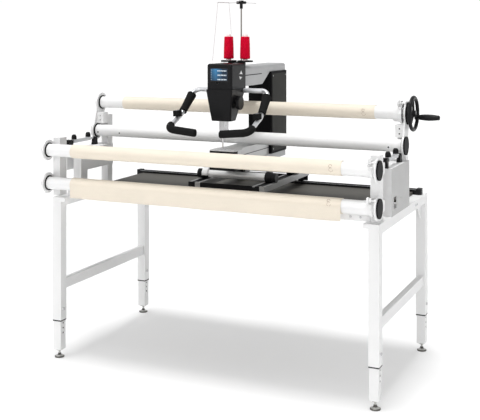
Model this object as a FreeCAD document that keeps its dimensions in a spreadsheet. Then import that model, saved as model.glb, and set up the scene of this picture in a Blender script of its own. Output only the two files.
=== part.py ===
import FreeCAD, Part
import math
import os
import re
import Sketcher

# Longarm quilting machine on its quilting frame.
# Millimetres, +X along the poles to the operator's right, +Y away from the operator, +Z up.
# Every size that can be set by itself is in the first table. The places worked out from them are in the
# second, measured from the middle of the four legs on the floor. The finished pieces are then moved so that
# the origin is under the middle of the whole object.

SIZES = {
    # four square legs with telescoping inserts and levelling feet
    "leg_span_x": 1676, "leg_span_y": 859, "leg_side": 50, "leg_wall": 2.5, "leg_top": 823, "leg_bottom": 194,
    "insert_gap": 0.4, "insert_wall": 2.5, "insert_length": 400, "lock_hole_r": 4.5, "lock_hole_pitch": 25,
    "lock_hole_drop": 18, "lock_hole_count": 3, "lock_bolt_rise": 54, "lock_bolt_r": 8, "lock_bolt_height": 6,
    "pad_r": 24, "pad_neck_r": 11, "pad_rim": 5, "pad_height": 12, "stud_r": 5, "stud_show": 17, "stud_inset": 3,
    "plug_height": 26, "plug_flange": 6, "plug_draw_in": 6, "nut_r": 9, "nut_height": 7,
    # end frame members
    "rail_height": 45, "rail_width": 75, "ledge_height": 20, "brace_height": 50, "brace_width": 30,
    "brace_bottom": 346, "gusset_leg": 85, "gusset_thick": 5,
    # cross beams, table and tracks
    "beam_height": 34, "beam_depth": 40, "beam_setback": 2.5, "table_gap": 22, "table_thick": 15, "post_gap": 1,
    "front_track_inset": 160, "rear_track_inset": 13.5, "track_side": 2, "track_shoulder": 9, "track_height": 25,
    "track_inset": 16, "track_cap": 26, "track_end_gap": 4, "track_lip": 2, "track_cap_round": 9,
    # bolts that show on the frame
    "bolt_head_r": 6, "bolt_head_height": 4, "bolt_crown_share": 0.7, "splice_pitch": 14, "beam_bolt_inset": 46,
    # posts and consoles at both ends
    "pole_line_x": -24, "post_outset": 14, "post_width": 42, "post_depth": 60, "post_rise": 6, "sheet_thick": 3,
    "console_gap": 86, "console_depth": 318, "console_width": 92, "console_height": 222, "console_nose": 62,
    "console_outset": 38, "skirt_height": 108, "foot_plate": 5, "column_width": 48, "notch_gap": 0.5,
    "window_width": 50, "window_height": 55, "window_inset": 22, "window_rise": 25, "panel_hole_r": 5,
    "panel_hole_inset": 74, "panel_hole_drop": 20, "rear_post_depth": 48, "post_drop": 69, "arm_reach": 46,
    "arm_clear": 1.3, "arm_top_clear": 1, "arm_hole_r": 4,
    # pole plates
    "plate_thick": 8, "plate_r": 53, "plate_tail": 46, "tail_share": 0.8, "idler_plate_r": 50,
    "take_up_plate_r": 59,
    # poles and their bearings
    "lower_pole_rise": 69, "pole_spacing": 169, "idler_rise": 296, "idler_clear": 4.3, "take_up_rise": 153,
    "take_up_set": 8, "pole_r": 31.75, "pole_wall": 2.5, "journal_r": 15, "running_gap": 0.08, "pole_clear": 2,
    "pole_plug": 40, "journal_over": 4, "ring_gap": 0.5, "ring_wall": 5.45, "ring_thick": 5, "post_clear": 0.3,
    "take_up_ring_r": 53, "cap_r": 45, "cap_thick": 7, "take_up_cap_r": 55, "outer_cap_r": 38,
    "outer_cap_thick": 12, "cap_bore_gap": 0.6, "cap_pocket": 5,
    # ratchets and pawls
    "hub_wall": 1.65, "ratchet_hub_length": 34, "take_up_hub_r": 44, "hub_flare": 3, "ratchet_step": 0.2,
    "take_up_ratchet_r": 52, "ratchet_thick": 12, "ratchet_gap": 9, "ratchet_teeth": 12, "ratchet_depth": 4,
    "tooth_face": 4, "pawl_pin_r": 4, "pawl_thick": 8, "pawl_front_share": 0.85333333,
    "pawl_up_share": 1.01333333, "pawl_lug_r": 10, "pawl_inset": 2, "pawl_lift": 12, "pin_gap": 0.08,
    "pawl_knob_thick": 9, "pawl_knob_gap": 1, "pawl_boss_r": 8, "knob_clear": 0.78,
    # leader cloths
    "cloth_thick": 3.2, "cloth_left_margin": 152, "cloth_right_margin": 155, "flap_thick": 1.4, "flap_gap": 0.3,
    "layer_gap": 0.3, "layer_step": 1.4, "roll_facets": 24, "flap_steps": 36, "flap_rows": 3, "flap_wave": 2.4,
    "flap_folds": 5, "flap_phase": 0.8, "flap_rise": 2, "flap_drop": 63,
    # handwheel with its crank grip
    "wheel_clear": 9, "wheel_r": 79, "wheel_rim_r": 9, "wheel_hub_r": 16, "wheel_hub_length": 24, "spoke_r": 6,
    "spoke_count": 3, "shaft_r": 8, "crank_inset": 13, "crank_angle": -20, "crank_pin_r": 4,
    "crank_grip_r": 16, "crank_neck_r": 12, "crank_grip_length": 106, "crank_gap": 1, "crank_boss_r": 12,
    "crank_tip": 8, "crank_taper_share": 0.75, "crank_round": 4,
    # side clamp rods
    "clamp_rod_r": 5, "clamp_rise": 38, "clamp_outset": 11, "clamp_overhang": 6, "clamp_rod_length": 242,
    "clamp_block": 24, "clamp_foot_half": 9, "clamp_foot_length": 40, "clamp_foot_slope": 8,
    "clamp_foot_over": 3, "clamp_foot_rear": 16,
    "slider_clear": 6.5, "slider_drop": 8, "slider_half": 10, "slider_length": 26,
    "slider_spacing": 135, "knob_r": 14, "knob_height": 28, "dome_share": 0.85, "crown_share": 0.82,
    # carriage
    "carriage_rail_x": 177.5, "carriage_rail_width": 65, "rail_clear": 4.7, "rail_depth": 28, "wheel_play": 0.7,
    "rail_over": 5.7, "groove_side": 3, "groove_depth": 3, "rail_cap": 8, "crossbar_depth": 12,
    "crossbar_clear": 3, "carriage_wheel_r": 14.5, "carriage_wheel_width": 22, "carriage_wheel_gap": 0.3,
    "carriage_axle_r": 4,
    # machine wheels and axle housings
    "machine_set": 116, "wheelbase": 300, "machine_wheel_r": 28, "machine_wheel_width": 30, "hub_gap": 4.5,
    "housing_r": 20, "axle_r": 6, "hub_cap_r": 24, "hub_cap_length": 26,
    "hood_gap": 0.8, "hood_wall": 2.5, "hood_drop": 6, "hood_inset": 3,
    # machine body
    "base_lift": 45.7, "base_thick": 33, "base_half": 60, "base_nose": 28, "yoke_half": 34, "yoke_wall": 6,
    "bed_height": 70, "bed_half": 72, "bed_toe_rise": 4, "bed_nose": 34, "bed_neck_half": 52, "bed_flare": 102,
    "bed_corner": 14, "plate_margin": 5, "plate_seat": 0.3, "needle_plate_width": 96, "needle_plate_depth": 70,
    "needle_plate_thick": 3, "needle_hole_r": 5, "needle_well": 17,
    "column_setback": 5, "column_depth": 224, "column_half": 68, "column_height": 443, "cover_wall": 3,
    "cover_round": 5, "panel_proud": 1.5, "panel_inset": 12, "screw_r": 3.5, "screw_height": 1.5,
    "throat": 443, "arm_half": 58, "crown_rise": 39, "arm_height": 100, "arm_slope": 103, "arm_seam_drop": 45,
    "arm_seam": 3, "arm_seam_stop": 8, "arm_round": 14,
    # head
    "head_nose": 70, "head_tail": 99, "head_half": 68, "head_rise": 19, "head_drop": 8, "head_round": 12,
    "screen_half": 50, "screen_base": 40, "screen_edge": 20, "screen_thick": 3, "screen_proud": 1,
    "screen_seat": 0.3, "housing_proud": 8, "housing_flare": 3, "housing_toe": 50, "housing_heel": 17,
    "housing_bottom_half": 53, "housing_depth": 157, "housing_round": 9, "guide_half": 13, "guide_toe": 40,
    "guide_heel": 14, "guide_length": 53,
    # needle bar and hopping foot
    "needle_lift": 24, "needle_point": 14, "bar_room": 4, "bar_stop": 16, "needle_r": 1, "needle_bar_r": 4,
    "needle_clamp_r": 7, "clamp_clear": 8, "needle_clamp_height": 18, "bar_gap": 0.08, "foot_bar_set": 26,
    "foot_bar_r": 4, "foot_lift": 12, "foot_ring_r": 9, "foot_ring_hole": 5, "foot_thick": 3,
    # side knob
    "side_knob_set": 6, "side_knob_drop": 68, "side_knob_r": 35, "side_knob_thick": 15,
    "side_knob_shaft_r": 7, "side_knob_depth": 38, "knob_round": 3, "knob_scallops": 12, "scallop_r": 3,
    # thread stand
    "tray_r": 41, "tray_gap": 5, "spool_set": 44, "tray_rise": 22, "tray_thick": 5, "tray_lip": 3, "pin_r": 4,
    "pin_length": 131, "cone_seat": 0.3, "cone_core_r": 13, "cone_bore_gap": 0.5, "cone_bottom_r": 26,
    "cone_top_r": 23, "cone_foot": 10.7, "cone_height": 114, "core_show": 13, "cone_round": 4,
    "stand_foot_half": 16, "foot_behind_mast": 18, "stand_bar_half": 9, "mast_set": 55, "mast_r": 3.5,
    "mast_height": 274, "mast_stem_r": 8, "mast_stem_height": 24, "mast_bar_height": 14, "mast_round": 5,
    "mast_cap_half": 24, "mast_cap_depth": 10, "mast_dome_r": 12, "mast_dome_height": 4, "guide_drop": 4,
    "arm_wire_r": 1.5, "wire_core_r": 1.3, "guide_front_x": -50, "guide_front_reach": 176,
    "guide_rear_x": 60, "guide_rear_reach": 42, "eyelet_r": 5, "eyelet_x": -28, "eyelet_reach": 91,
    "thread_r": 0.5, "thread_inset": 8, "thread_set": 48, "thread_gap": 1.2, "thread_over": 0.4,
    # handlebars
    "bar_r": 12, "spigot_r": 8, "spigot_length": 24, "bar_clear": 2, "bar_start_set": 27, "bar_start_drop": 10,
    "shoulder_reach": 132, "knee_out": 12, "knee_forward": 128, "knee_drop": 120, "elbow_out": 1,
    "elbow_forward": 142, "elbow_drop": 60, "bar_end_x": 70, "bar_end_drop": 14, "shoulder_radius": 40,
    "knee_radius": 80, "elbow_radius": 36, "bend_trim": 1, "grip_length": 116, "grip_top_r": 24,
    "grip_low_r": 20, "grip_skin": 0.3, "grip_waist": 1.5, "foam_r": 19, "foam_skin": 0.3,
    "foam_start_share": 0.73, "pod_half": 13, "pod_set": 18, "pod_length": 46, "pod_below": 6,
    "pod_above": 22, "button_r": 5, "button_proud": 3, "button_depth": 6, "button_travel": 2,
    "button_spread": 22,
    # one overrun for every cut
    "overrun": 2,
}

PLACES = {
    # frame, table and tracks
    "leg_x": "leg_span_x / 2", "leg_y": "leg_span_y / 2", "rail_inner_x": "leg_x + leg_side / 2 - rail_width",
    "rail_bottom": "leg_top - rail_height", "table_top": "leg_top + table_thick",
    "insert_side": "leg_side - 2 * leg_wall - 2 * insert_gap",
    "insert_bottom": "pad_height + nut_height + stud_show + plug_flange",
    "insert_top": "insert_bottom + insert_length", "lock_bolt_z": "leg_bottom + lock_bolt_rise",
    "stud_length": "insert_bottom + plug_height - stud_inset - pad_rim",
    "post_half_span": "leg_x + post_outset",
    "table_edge_x": "pole_line_x + post_half_span - post_width / 2 - post_gap",
    "front_beam_y": "-leg_y + leg_side / 2 + beam_setback", "front_post_y": "front_beam_y",
    "table_front_y": "front_beam_y + beam_depth + table_gap", "track_top": "leg_top + track_height",
    "track_groove": "carriage_wheel_width + 2 * track_side", "track_width": "track_groove + 2 * track_shoulder",
    "front_track_y": "table_front_y + front_track_inset",
    "rear_track_y": "leg_y - leg_side / 2 - rear_track_inset",
    "table_rear_y": "rear_track_y - track_width / 2 - track_lip", "track_reach": "leg_x - track_inset",
    # consoles and poles
    "console_outer": "post_half_span + console_outset",
    "front_track_reach": "pole_line_x + console_outer - console_width - track_cap"
                         " - track_end_gap",
    "console_front_y": "front_post_y + post_depth + console_gap",
    "rear_post_y": "console_front_y + console_depth", "console_top": "leg_top + console_height",
    "console_skirt": "leg_top + skirt_height",
    "ring_r": "pole_r + ring_gap + ring_wall", "roll_r": "pole_r + cloth_thick",
    "front_pole_y": "front_post_y - ring_r - post_clear", "lower_pole_z": "leg_top + lower_pole_rise",
    "upper_pole_z": "lower_pole_z + pole_spacing", "idler_y": "rear_post_y - ring_r - idler_clear",
    "idler_z": "leg_top + idler_rise", "take_up_y": "rear_post_y + take_up_set",
    "take_up_z": "idler_z + take_up_rise", "post_top": "upper_pole_z + plate_r + post_rise",
    "rear_post_top": "take_up_z - post_drop", "arm_front_y": "rear_post_y - arm_reach",
    "arm_bottom": "idler_z + ring_r + arm_clear", "arm_top": "take_up_z - take_up_ring_r - arm_top_clear",
    "plate_inner": "post_half_span + post_width / 2", "plate_outer": "plate_inner + plate_thick",
    "left_plate_x": "pole_line_x - plate_inner", "right_plate_x": "pole_line_x + plate_inner",
    "bore_r": "journal_r + running_gap", "pole_left": "left_plate_x + pole_clear",
    "pole_right": "right_plate_x - pole_clear", "cloth_left": "pole_left + cloth_left_margin",
    "cloth_right": "pole_right - cloth_right_margin", "flap_bottom": "lower_pole_z - flap_drop",
    # ratchets, pawls, handwheel and clamp rods
    "ratchet_hub_r": "pole_r + hub_wall", "ratchet_r": "ring_r - ratchet_step",
    "ratchet_x": "right_plate_x - ring_thick - ratchet_gap - ratchet_thick",
    "pawl_pin_y": "-ratchet_r * pawl_front_share", "pawl_pin_z": "ratchet_r * pawl_up_share",
    "pawl_knob_r": "sqrt(pawl_pin_y * pawl_pin_y + pawl_pin_z * pawl_pin_z) - ratchet_hub_r - knob_clear",
    "take_up_pawl_z": "take_up_z + take_up_ratchet_r - ratchet_r",
    "wheel_x": "right_plate_x + plate_thick + cap_thick + wheel_clear + wheel_hub_length / 2",
    "crank_radius": "wheel_r - crank_inset", "clamp_rod_offset": "post_half_span + clamp_outset",
    "clamp_rod_z": "console_top + clamp_rise", "clamp_rod_front": "console_front_y - clamp_overhang",
    "clamp_rod_rear": "clamp_rod_front + clamp_rod_length",
    "slider_y": "console_front_y + clamp_block / 3 + sheet_thick + slider_clear + slider_spacing / 2"
                " + slider_length / 2",
    # carriage and machine
    "carriage_axle_z": "track_top - track_lip + carriage_wheel_gap + carriage_wheel_r",
    "carriage_rail_bottom": "carriage_axle_z + carriage_wheel_r + rail_clear",
    "carriage_rail_top": "carriage_rail_bottom + rail_depth",
    "crossbar_bottom": "track_top + track_lip + crossbar_clear",
    "carriage_front_y": "front_track_y - wheel_play - carriage_wheel_width / 2 - carriage_wheel_gap"
                        " - crossbar_depth",
    "carriage_rear_y": "rear_track_y + carriage_wheel_width / 2 + carriage_wheel_gap + crossbar_depth"
                       " + rail_over",
    "groove_width": "machine_wheel_width + 2 * groove_side", "machine_wheel_x": "carriage_rail_x",
    "machine_axle_z": "carriage_rail_top - groove_depth + carriage_wheel_gap + machine_wheel_r",
    "housing_reach": "machine_wheel_x - machine_wheel_width / 2 - hub_gap",
    "axle_front_y": "front_track_y + machine_set", "axle_rear_y": "axle_front_y + wheelbase",
    "base_bottom": "machine_axle_z + base_lift", "base_top": "base_bottom + base_thick",
    "base_front_y": "axle_front_y - base_nose", "bed_top": "base_top + bed_height",
    "column_front_y": "axle_rear_y - column_setback", "column_rear_y": "column_front_y + column_depth",
    "column_top": "base_top + column_height", "needle_y": "column_front_y - throat",
    "bed_front_y": "needle_y - needle_plate_depth / 2 - plate_margin",
    "bed_flare_y": "bed_front_y + bed_flare",
    "bed_toe_z": "base_bottom + bed_toe_rise",
    "arm_crown": "column_top + crown_rise", "arm_underside": "arm_crown - arm_height",
    "arm_rise_y": "column_front_y - arm_slope", "arm_seam_z": "arm_crown - arm_seam_drop",
    "arm_seam_rear": "arm_rise_y - arm_seam_stop",
    # head, needle and knob
    "head_front_y": "needle_y - head_nose", "head_rear_y": "needle_y + head_tail",
    "head_top": "arm_crown + head_rise", "head_seam": "arm_underside - head_drop",
    "screen_bottom": "head_seam + screen_base", "screen_top": "head_top - screen_edge",
    "housing_top_front": "head_front_y - housing_proud", "housing_top_half": "head_half + housing_flare",
    "housing_bottom_front": "needle_y - housing_toe", "housing_bottom_rear": "needle_y + housing_heel",
    "housing_bottom": "head_seam - housing_depth", "guide_front": "needle_y - guide_toe",
    "guide_rear": "needle_y + guide_heel", "guide_bottom": "housing_bottom - guide_length",
    "needle_tip": "bed_top + needle_lift", "needle_bar_top": "head_seam - bar_stop",
    "needle_clamp_z": "guide_bottom - clamp_clear - needle_clamp_height",
    "foot_bar_y": "needle_y - foot_bar_set", "foot_bar_top": "needle_bar_top", "foot_z": "bed_top + foot_lift",
    "side_knob_x": "housing_top_half", "side_knob_y": "needle_y + side_knob_set",
    "side_knob_z": "head_seam - side_knob_drop",
    # thread stand
    "spool_x": "tray_r + tray_gap", "spool_y": "head_rear_y + spool_set", "tray_z": "arm_crown + tray_rise",
    "tray_floor": "tray_z + tray_thick",
    "core_low": "tray_floor + cone_seat", "cone_low": "core_low + cone_foot",
    "cone_high": "cone_low + cone_height", "core_high": "cone_high + core_show",
    "mast_y": "spool_y + mast_set", "stand_foot_rear": "mast_y + foot_behind_mast",
    "mast_cap_low": "tray_z + mast_height", "mast_bar_low": "mast_cap_low + mast_stem_height",
    "mast_bar_high": "mast_bar_low + mast_bar_height", "mast_cap_top": "mast_bar_high + mast_dome_height",
    "guide_z": "mast_bar_low + guide_drop", "guide_front_y": "mast_y - guide_front_reach",
    "guide_rear_y": "mast_y + guide_rear_reach", "eyelet_y": "mast_y - eyelet_reach",
    "thread_end_x": "-head_half + thread_inset", "thread_end_y": "head_front_y + thread_set",
    "thread_high": "guide_z + arm_wire_r + thread_r + thread_over",
    # handlebars
    "bar_start_x": "housing_top_half + bar_clear", "bar_start_y": "head_rear_y - bar_start_set",
    "bar_start_z": "head_seam - bar_start_drop", "shoulder_x": "bar_start_x + shoulder_reach",
    "shoulder_y": "bar_start_y", "shoulder_z": "bar_start_z", "knee_x": "shoulder_x + knee_out",
    "knee_y": "shoulder_y - knee_forward", "knee_z": "shoulder_z - knee_drop", "elbow_x": "knee_x + elbow_out",
    "elbow_y": "knee_y - elbow_forward", "elbow_z": "knee_z - elbow_drop", "bar_end_y": "elbow_y",
    "bar_end_z": "elbow_z - bar_end_drop", "grip_start": "shoulder_radius - bend_trim",
    "pod_rear_y": "knee_y - pod_set", "pod_front_y": "pod_rear_y - pod_length",
    "pod_low": "knee_z - pod_below", "pod_high": "knee_z + pod_above",
    # the row's origin, under the middle of the whole object
    "left_reach": "left_plate_x - plate_thick - outer_cap_thick",
    "right_reach": "wheel_x + wheel_rim_r + crank_gap + crank_grip_length",
    "front_reach": "front_pole_y - plate_r", "origin_x": "(left_reach + right_reach) / 2",
    "origin_y": "(front_reach + column_rear_y) / 2",
}

# Pawl outline, engaged, as shares of the ratchet's radius from the ratchet's middle.
PAWL_SHARES = [
    (-0.085, 1.053), (-0.240, 1.173), (-0.720, 1.240), (-0.800, 1.360), (-1.040, 1.360), (-1.067, 1.120),
    (-1.027, 0.853), (-0.800, 0.827), (-0.333, 1.000), (-0.213, 0.928), (-0.096, 0.928),
]

doc = FreeCAD.newDocument("quilting_machine")


def make_sheet(name, cells):
    """Write named cells to a spreadsheet and return the names they can be found under."""
    sheet = doc.addObject("Spreadsheet::Sheet", name)
    for row, (alias, content) in enumerate(cells.items(), 1):
        sheet.set(f"A{row}", alias)
        sheet.set(f"B{row}", content if isinstance(content, str) else str(content))
        sheet.setAlias(f"B{row}", alias)
    return sheet


sheet_of = {alias: "Sizes" for alias in SIZES}
sheet_of.update({alias: "Places" for alias in PLACES})


def formula(text):
    """Point every size named in the text at its cell."""
    def cell(found):
        word = found.group()
        return f"{sheet_of[word]}.{word}" if word in sheet_of else word
    return re.sub(r"[a-z][a-z0-9_]*", cell, str(text))


sizes = make_sheet("Sizes", SIZES)
places = make_sheet("Places", {alias: "=" + formula(text).replace("Places.", "")
                               for alias, text in PLACES.items()})
doc.recompute()


def size(text):
    """Work out a length from the named sizes."""
    return float(doc.Sizes.evalExpression(formula(text)))


AXIS_TURN = {
    "X": FreeCAD.Rotation(FreeCAD.Vector(0, 1, 0), 90),
    "Y": FreeCAD.Rotation(FreeCAD.Vector(1, 0, 0), -90),
    "Z": FreeCAD.Rotation(),
}
counter = iter(range(1, 100000))
parts = {}


def fresh(stem):
    """Give a helper object a name of its own."""
    return f"{stem}_{next(counter)}"


def bind(obj, **links):
    """Bind properties to formulas in the named sizes."""
    for prop, text in links.items():
        obj.setExpression(prop.replace("_dot_", "."), formula(text))


def put(obj, x, y, z, axis="Z"):
    """Stand an object's own origin at a place and turn its Z axis along the given axis."""
    obj.Placement = FreeCAD.Placement(FreeCAD.Vector(), AXIS_TURN[axis])
    bind(obj, Placement_dot_Base_dot_x=f"{x} - origin_x", Placement_dot_Base_dot_y=f"{y} - origin_y",
         Placement_dot_Base_dot_z=f"{z} + 0")
    return obj


def box(x, y, z):
    """Block between the two limits given for each axis."""
    obj = doc.addObject("Part::Box", fresh("block"))
    bind(obj, Length=f"({x[1]}) - ({x[0]})", Width=f"({y[1]}) - ({y[0]})", Height=f"({z[1]}) - ({z[0]})")
    return put(obj, x[0], y[0], z[0])


def rod(axis, radius, start, length):
    """Round bar from a starting place along one axis."""
    obj = doc.addObject("Part::Cylinder", fresh("rod"))
    bind(obj, Radius=radius, Height=length)
    return put(obj, *start, axis=axis)


def cone(axis, low_radius, high_radius, start, length):
    """Tapered round bar along one axis."""
    obj = doc.addObject("Part::Cone", fresh("taper"))
    bind(obj, Radius1=low_radius, Radius2=high_radius, Height=length)
    return put(obj, *start, axis=axis)


def join(*pieces):
    """Fuse pieces to one solid."""
    obj = doc.addObject("Part::MultiFuse", fresh("join"))
    obj.Shapes = list(pieces)
    obj.Refine = True
    return obj


def cut(base, *tools):
    """Take the tools away from the base."""
    obj = doc.addObject("Part::Cut", fresh("cut"))
    obj.Base = base
    obj.Tool = tools[0] if len(tools) == 1 else join(*tools)
    obj.Refine = True
    return obj


def group(*pieces):
    """Keep separate solids together in one node."""
    obj = doc.addObject("Part::Compound", fresh("group"))
    obj.Links = list(pieces)
    return obj


def round_edges(base, radius, wanted):
    """Round the edges that the test picks."""
    doc.recompute()
    amount = size(radius)
    picked = [index for index, edge in enumerate(base.Shape.Edges, 1) if wanted(edge)]
    obj = doc.addObject("Part::Fillet", fresh("round"))
    obj.Base = base
    obj.Edges = [(index, amount, amount) for index in picked]
    return obj


def along(edge, axis):
    """Tell whether a straight edge runs along an axis."""
    if edge.Curve.TypeId != "Part::GeomLine":
        return False
    direction = edge.Curve.Direction
    return abs(getattr(direction, axis.lower())) > 1 - Part.Precision.confusion()


def sketch_on(body, plane):
    """Start a sketch on one of the body's own origin planes."""
    sketch = body.newObject("Sketcher::SketchObject", fresh("outline"))
    origin = next(item for item in body.Origin.OriginFeatures if item.Role == plane)
    sketch.AttachmentSupport = [(origin, "")]
    sketch.MapMode = "FlatFace"
    return sketch


def draw(sketch, points, circles=()):
    """Draw a closed outline through the points, with round holes, each bound to the sizes."""
    flat = [FreeCAD.Vector(size(across), size(up), 0) for across, up in points]
    for start, end in zip(flat, flat[1:] + flat[:1]):
        sketch.addGeometry(Part.LineSegment(start, end), False)
    count = len(points)
    for index in range(count):
        sketch.addConstraint(Sketcher.Constraint("Coincident", index, 2, (index + 1) % count, 1))
    for index, (across, up) in enumerate(points):
        pin_point(sketch, index, 1, across, up)
    for across, up, radius in circles:
        centre = FreeCAD.Vector(size(across), size(up), 0)
        index = sketch.addGeometry(Part.Circle(centre, FreeCAD.Vector(0, 0, 1), size(radius)), False)
        number = sketch.addConstraint(Sketcher.Constraint("Radius", index, size(radius)))
        sketch.setExpression(f"Constraints[{number}]", formula(radius))
        pin_point(sketch, index, 3, across, up)


def pin_point(sketch, index, vertex, across, up):
    """Hold one point of a sketch at its two distances from the sketch's origin."""
    for kind, text in (("DistanceX", across), ("DistanceY", up)):
        number = sketch.addConstraint(Sketcher.Constraint(kind, -1, 1, index, vertex, size(text)))
        sketch.setExpression(f"Constraints[{number}]", formula(text))


def pad(plane, points, start, depth, circles=()):
    """Flat outline padded along the axis that is square to its plane."""
    body = doc.addObject("PartDesign::Body", fresh("padded"))
    sketch = sketch_on(body, plane)
    draw(sketch, points, circles)
    feature = body.newObject("PartDesign::Pad", fresh("pad"))
    feature.Profile = sketch
    bind(feature, Length=depth)
    sketch.Visibility = False
    return put(body, *start)


def turned(axis, profile, start):
    """Round piece turned from a half section of (radius, height) points."""
    body = doc.addObject("PartDesign::Body", fresh("turned"))
    sketch = sketch_on(body, "XZ_Plane")
    draw(sketch, profile)
    feature = body.newObject("PartDesign::Revolution", fresh("revolution"))
    feature.Profile = sketch
    feature.ReferenceAxis = (sketch, ["V_Axis"])
    feature.Angle = 360
    return put(body, *start, axis=axis)


def moved(shape):
    """Set a shape that was drawn from the legs' middle, as a sub-part in the row's own frame."""
    obj = doc.addObject("Part::Feature", fresh("shape"))
    obj.Shape = shape
    obj.Placement = FreeCAD.Placement(FreeCAD.Vector(-size("origin_x"), -size("origin_y"), 0),
                                      FreeCAD.Rotation())
    return obj


def node(name, obj):
    """Name a finished sub-part."""
    obj.Label = name
    parts[name] = obj
    return obj


# End frames, beams, table and tracks.

def frame_x(side, distance):
    """Place across the frame: distance from the middle towards the given side."""
    return f"({side}) * ({distance})"


def span(side, near, far):
    """Limits across the frame between two distances from the middle, for either side."""
    return (near, far) if side > 0 else (f"-({far})", f"-({near})")


def leg_tube(side, end):
    """Square outer tube of one leg."""
    half = "leg_side / 2"
    x = (f"{frame_x(side, 'leg_x')} - {half}", f"{frame_x(side, 'leg_x')} + {half}")
    y = (f"({end}) * leg_y - {half}", f"({end}) * leg_y + {half}")
    inner_x = (f"{x[0]} + leg_wall", f"{x[1]} - leg_wall")
    inner_y = (f"{y[0]} + leg_wall", f"{y[1]} - leg_wall")
    outer = box(x, y, ("leg_bottom", "leg_top"))
    hollow = box(inner_x, inner_y, ("leg_bottom - overrun", "leg_top - leg_wall"))
    return cut(outer, hollow)


def gusset(side):
    """Triangular web between the rear leg and the side rail."""
    top, reach = "rail_bottom", "leg_y - leg_side / 2"
    points = [(reach, top), (reach, f"{top} - gusset_leg"), (f"{reach} - gusset_leg", top)]
    return pad("YZ_Plane", points, (f"{frame_x(side, 'leg_x')} - gusset_thick / 2", "0", "0"), "gusset_thick")


def end_frame(side):
    """Welded end frame: two legs, the side rail with its ledge, a lower brace and a gusset."""
    inner, outer = "rail_inner_x", "leg_x + leg_side / 2"
    y_in = "leg_y - leg_side / 2"
    pieces = [leg_tube(side, -1), leg_tube(side, 1)]
    pieces.append(box(span(side, "leg_x - leg_side / 2", outer), (f"-({y_in})", y_in),
                      ("rail_bottom", "leg_top")))
    pieces.append(box(span(side, inner, "leg_x - leg_side / 2"),
                      ("-leg_y - leg_side / 2", "leg_y + leg_side / 2"),
                      ("leg_top - ledge_height", "leg_top")))
    pieces.append(box(span(side, "leg_x - brace_width / 2", "leg_x + brace_width / 2"), (f"-({y_in})", y_in),
                      ("brace_bottom", "brace_bottom + brace_height")))
    pieces.append(gusset(side))
    return join(*pieces)


def cross_beams():
    """Front beam across the side rails and rear beam between them."""
    front = box(("-table_edge_x", "table_edge_x"), ("front_beam_y", "front_beam_y + beam_depth"),
                ("leg_top", "leg_top + beam_height"))
    rear_y = ("leg_y - beam_depth / 2", "leg_y + beam_depth / 2")
    rear = box(("-rail_inner_x", "rail_inner_x"), rear_y, ("rail_bottom", "leg_top"))
    reach = "leg_x - leg_side / 2"
    under = box((f"-({reach})", reach), rear_y, ("rail_bottom", "leg_top - ledge_height"))
    return group(front, join(rear, under))


def table_top():
    """Dark flat table that carries the front track."""
    board = box(("-table_edge_x", "table_edge_x"), ("table_front_y", "table_rear_y"), ("leg_top", "table_top"))
    notch = box((mirror_x(1, "console_outer - console_width - notch_gap"), "table_edge_x + overrun"),
                ("console_front_y - notch_gap", "rear_post_y + rear_post_depth + notch_gap"),
                ("leg_top - overrun", "table_top + overrun"))
    return cut(board, notch)


def track(middle_y, bottom, reach):
    """Low extruded track with a groove for the carriage wheels between two raised lips."""
    half = "track_width / 2"
    lip = "track_top + track_lip"
    groove = "track_groove / 2"
    points = [(f"-{half}", "0"), (half, "0"), (half, f"{lip} - ({bottom})"),
              (f"{half} - track_lip", f"{lip} - ({bottom})"), (f"{half} - track_lip", f"track_top - ({bottom})"),
              (groove, f"track_top - ({bottom})"), (groove, f"track_top - track_lip - ({bottom})"),
              (f"-{groove}", f"track_top - track_lip - ({bottom})"), (f"-{groove}", f"track_top - ({bottom})"),
              (f"-{half} + track_lip", f"track_top - ({bottom})"),
              (f"-{half} + track_lip", f"{lip} - ({bottom})"), (f"-{half}", f"{lip} - ({bottom})")]
    return pad("YZ_Plane", points, (f"-{reach}", middle_y, bottom), f"2 * {reach}")


def track_end_caps():
    """Black stop caps over the ends of both tracks."""
    caps = []
    for middle_y, bottom, reach in (("front_track_y", "table_top", "front_track_reach"),
                                    ("rear_track_y", "leg_top", "track_reach")):
        y = (f"{middle_y} - track_width / 2 - track_lip", f"{middle_y} + track_width / 2 + track_lip")
        for side in (-1, 1):
            block = box(span(side, reach, f"{reach} + track_cap"), y,
                        (bottom, "track_top + 3 * track_lip"))
            limit = size(f"{reach} + track_cap / 2")
            caps.append(round_edges(block, "track_cap_round", lambda edge: along(edge, "Z")
                                    and side * (edge.BoundBox.Center.x + size("origin_x")) > limit))
    return group(*caps)


# Telescoping legs.

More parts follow.
